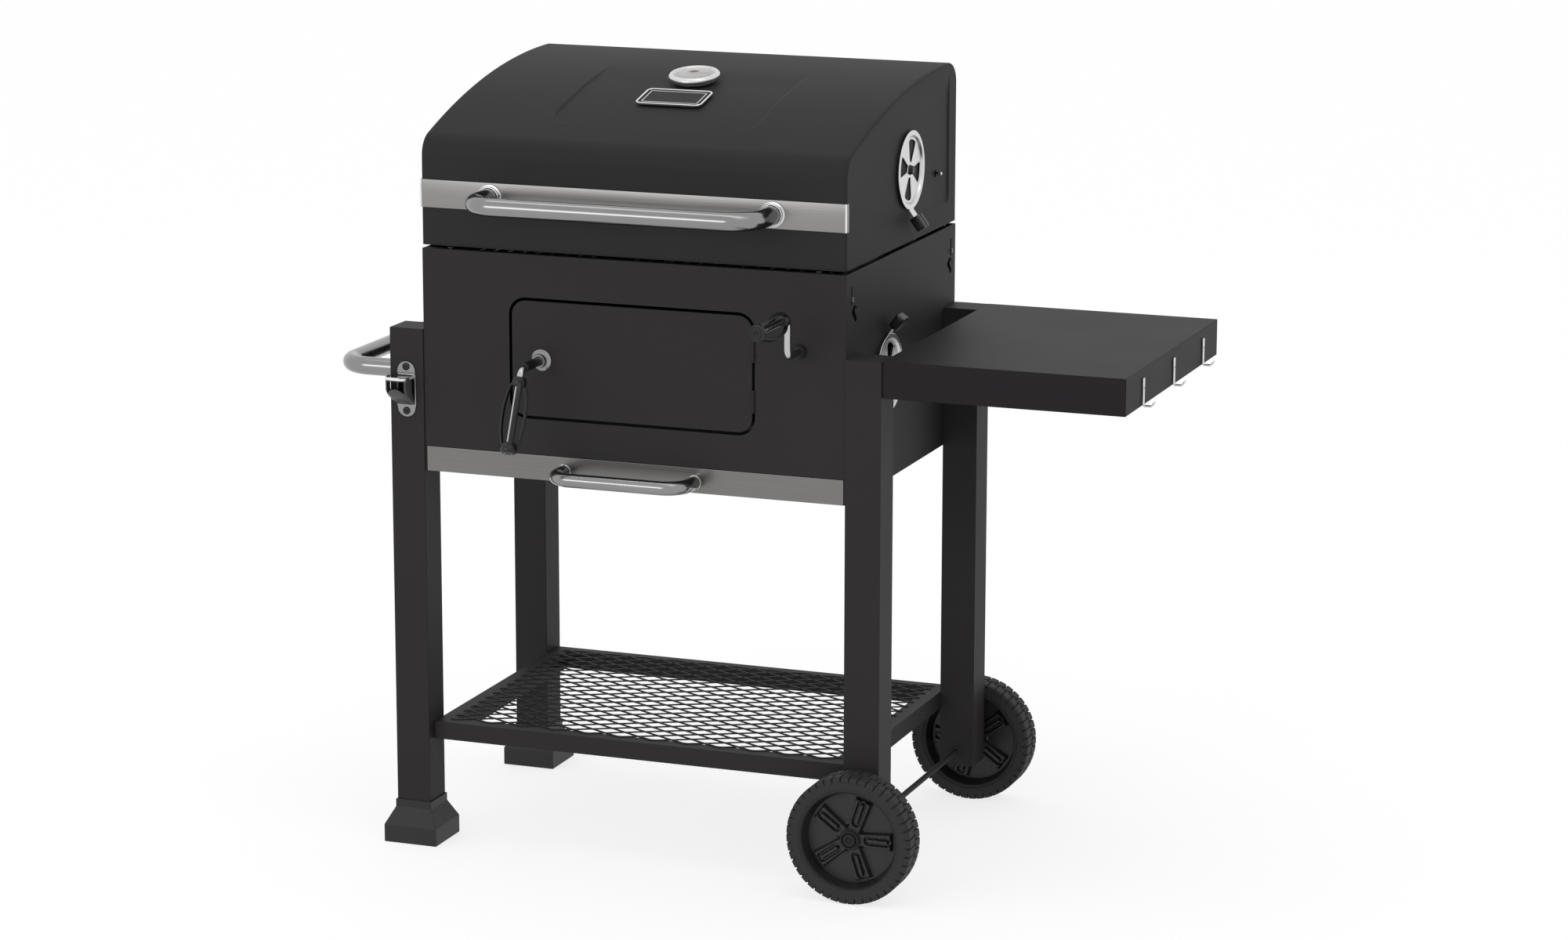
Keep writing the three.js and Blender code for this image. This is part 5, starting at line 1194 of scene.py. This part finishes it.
# Axle: head, shaft, a spacer outside and a domed washer inside each leg
def axleRod():
    low, high = nodeBox("axle")
    x, z = (low[0] + high[0]) / 2, (low[2] + high[2]) / 2
    start = np.mean(nodeBox("front_wheel_rim"), axis=0)[1] - wheel["sunkHub"]
    front, rear = nodeBox("front_right_leg"), nodeBox("rear_right_leg")
    radius, long, gap = axle["radius"], high[1] - start, axle["gap"]
    shapes = turned(rounded(axle["head"], 0.5, 3), (x, start, z), (0, -1, 0), 56)
    shaft = rounded([(0, 0), (radius, 0), (radius, long), (0, long)], 0.4, 2)
    shapes += turned(shaft, (x, start, z), (0, 1, 0), 28)
    for key, reach, ends in (("spacer", 0.6, ((front[0][1] - gap, -1), (rear[1][1] + gap, 1))),
                             ("washer", 0.5, ((front[1][1], 1), (rear[0][1], -1)))):
        for y, side in ends:
            shapes += turned(rounded(axle[key], reach, 3), (x, y, z), (0, side, 0), 36, closed=True)
    addPiece("axle_rod", shapes, ["axle"])


axleRod()
full, sunk = wheel["hubHalf"], wheel["sunkHub"]
for node, turn, hubHalves in (("front_wheel", 0.0, (sunk, full)), ("rear_wheel", math.pi / 5, (full, full))):
    tyre(node + "_tyre")
    rim(node + "_rim", turn, hubHalves)
print("wheels made")


# Mesh shelf: expanded metal, as strands that zigzag along X and meet their neighbours at the bonds

mesh = {
    "pitch": (49, 25), "strand": 3.0, "thick": 1.6, "lift": 1.1, "bond": 0.05, "over": 8.0,
    "hole": (75, 316.2), "knots": 40,
}


# Strand i: y = row i's middle + (-1)^i (pitch / 4) wave, a triangle wave along X cut flat at the bonds
def meshShelf():
    low, high = nodeBox("mesh_shelf")
    over, (wide, deep) = mesh["over"], mesh["pitch"]
    left, right = low[0] - over, high[0] + over
    front, rear = low[1] - over, high[1] + over
    holeX, holeY = mesh["hole"]
    bond, knots = mesh["bond"] / 2, np.arange(-mesh["knots"], mesh["knots"] + 1)
    x = holeX + np.sort(np.concatenate([knots - bond, knots + bond])) * wide / 2
    x = np.concatenate([[left], x[(x > left + 1) & (x < right - 1)], [right]])
    saw = np.abs((x - holeX) / (wide / 2) % 2 - 1)
    wave = np.clip((saw - 0.5) / (1 - 2 * bond) * 2, -1, 1)
    halfWide, halfThick = mesh["strand"] / 2, mesh["thick"] / 2
    corners = [(-halfWide, -halfThick), (halfWide, -halfThick), (halfWide, halfThick), (-halfWide, halfThick)]
    shapes = []
    first, last = [(end - holeY) / (deep / 2) for end in (front, rear)]
    for i in range(math.ceil(first) - 1, math.floor(last) + 2):
        y = holeY + deep / 4 + i * deep / 2 + deep / 4 * wave * (-1) ** i
        if ((y > front - 0.1) & (y < rear + 0.1)).sum() < 4:
            continue
        path = np.stack([x, np.clip(y, front, rear), np.full_like(x, high[2] + mesh["lift"] - halfThick)], 1)
        shapes += capped(np.stack([path + (0, aside, up) for aside, up in corners], 1))
    addPiece("mesh_shelf_strands", shapes, ["mesh_shelf"], sharp=30)


meshShelf()

# Small stops in the gap under the lid
stops = {"at": (40, 570), "depth": 7, "profile": [(0, -1), (4.5, -1), (4.5, 3.6), (0, 3.6)]}
base = nodeBox("firebox_front")[1][2]
for i, x in enumerate(stops["at"]):
    stop = turned(rounded(stops["profile"], 1.2, 3), (x, stops["depth"], base), (0, 0, 1), 24)
    addDetail("lid_stop_%d" % (i + 1), stop, "black_plastic", "cart", "black_plastic")
print("mesh and stops made")


# Every other part keeps its own shape, with its edges softened by the width given here in millimetres

hidden = ("front_grate_rail", "rear_grate_rail", "front_tray_guide", "rear_tray_guide", "left_lid_hinge_base",
          "left_lid_hinge_leaf", "right_lid_hinge_base", "right_lid_hinge_leaf")
softEdges = {
    "front_left_leg": 1.2, "front_right_leg": 1.2, "rear_left_leg": 1.2, "rear_right_leg": 1.2,
    "front_left_foot": 0.8, "rear_left_foot": 0.8, "side_shelf": 2.0, "lower_shelf_frame": 1.2,
    "firebox_front": 0.8, "firebox_back": 0.6, "firebox_left_side": 0.8, "firebox_right_side": 0.8,
    "charcoal_door": 0.9, "door_hinge_strip": 0.3, "drawer_face": 0.5, "ash_pan": 0.4,
    "charcoal_tray": 0.5, "tray_cradle": 0.5, "crank_pinion": 0.3, "warming_rack": 0.8,
    "left_cooking_grate": 1.4, "right_cooking_grate": 1.4, "axle_nut": 0.8,
    **{node: 0.5 for node in hidden},
}
nodeFinish = {
    "drawer_face": "drawer_steel", "side_shelf": "painted_shade_shelf_coat", "front_left_foot": "foot_plastic",
    "rear_left_foot": "foot_plastic",
}
sharpFrom = {"front_left_foot": 15, "rear_left_foot": 15}  # degrees; the feet's flare is shallow
for node in frame["nodes"]:
    if node in softEdges:
        softenNode(node, softEdges[node], nodeFinish.get(node), sharpFrom.get(node, 32))
print("softened:", len(softEdges))


# Camera, floor and light

# Camera: its place in millimetres, its turns in degrees, its lens and sensor in the camera's own millimetres
view = {
    "location": (2511.84, -5337.36, 1839.70), "azimuth": 20.43, "elevation": 12.52, "roll": 0.115,
    "lens": 100.92, "sensor": 36,
}
# Lamps are in metres and watts; white is how much of the floor that is seen directly, mirrored or through
# glass is plain white instead of lit
light = {
    "air": 1.0, "floor": 0.97, "white": 0.75, "aim": (0, 0, 0.5), "reach": 40, "sunk": 0.0005,
    "front": {"place": (-1.7, -4.3, 1.9), "size": (3.0, 1.3), "power": 32},
    "top": {"place": (1.4, -1.2, 3.4), "size": (2.0, 2.0), "power": 3},
    "strip": {"place": (-0.2, -0.55, 3.6), "size": (3.5, 0.8), "power": 11},
}
scene = bpy.context.scene
scene.view_settings.view_transform = "Standard"
turn, rise = math.radians(view["azimuth"]), math.radians(view["elevation"])
back = Vector((math.sin(turn) * math.cos(rise), -math.cos(turn) * math.cos(rise), math.sin(rise)))
camera = bpy.data.objects.new("camera", bpy.data.cameras.new("camera"))
camera.data.lens, camera.data.sensor_width = view["lens"], view["sensor"]
camera.location = np.array(view["location"]) * mm + origin
camera.rotation_mode = "QUATERNION"
roll = Quaternion((0, 0, 1), math.radians(view["roll"]))
camera.rotation_quaternion = (-back).to_track_quat("-Z", "Y") @ roll
scene.collection.objects.link(camera)
scene.camera = camera

for name in ("front", "top", "strip"):
    look = light[name]
    lamp = bpy.data.lights.new(name, "AREA")
    lamp.energy, lamp.shape = look["power"], "RECTANGLE"
    lamp.size, lamp.size_y = look["size"]
    holder = bpy.data.objects.new(name, lamp)
    holder.location = look["place"]
    holder.rotation_mode = "QUATERNION"
    toward = Vector(light["aim"]) - Vector(look["place"])
    holder.rotation_quaternion = toward.to_track_quat("-Z", "Y")
    scene.collection.objects.link(holder)

world = bpy.data.worlds.new("air")
scene.world = world
world.use_nodes = True
graph = Graph(world.node_tree)
air = graph.add("ShaderNodeBackground", {}, {"Color": (*grey(light["air"]), 1)})
graph.add("ShaderNodeOutputWorld", {}, {"Surface": air})
floorMaterial = bpy.data.materials.new("floor")
floorMaterial.use_nodes = True
graph = Graph(floorMaterial.node_tree)
paper = graph.add("ShaderNodeBsdfDiffuse", {}, {"Color": (*grey(light["floor"]), 1)})
seen = [graph.add("ShaderNodeLightPath", output=output) for output in (0, 3, 6)]  # camera, glossy, through
white = graph.add("ShaderNodeEmission", {}, {"Color": (1, 1, 1, 1), "Strength": 1.0})
share = (seen[0] + seen[1] + seen[2]) * light["white"]
graph.add("ShaderNodeOutputMaterial", {}, {"Surface": graph.pick(share, paper, white)})
floorMesh = bpy.data.meshes.new("floor")
corners = np.array([(-1, -1, 0), (1, -1, 0), (1, 1, 0), (-1, 1, 0)]) * light["reach"] - (0, 0, light["sunk"])
floorMesh.from_pydata(corners, [], [(0, 1, 2, 3)])
floorMesh.materials.append(floorMaterial)
floor = bpy.data.objects.new("floor", floorMesh)
scene.collection.objects.link(floor)
print("camera, floor and light made")
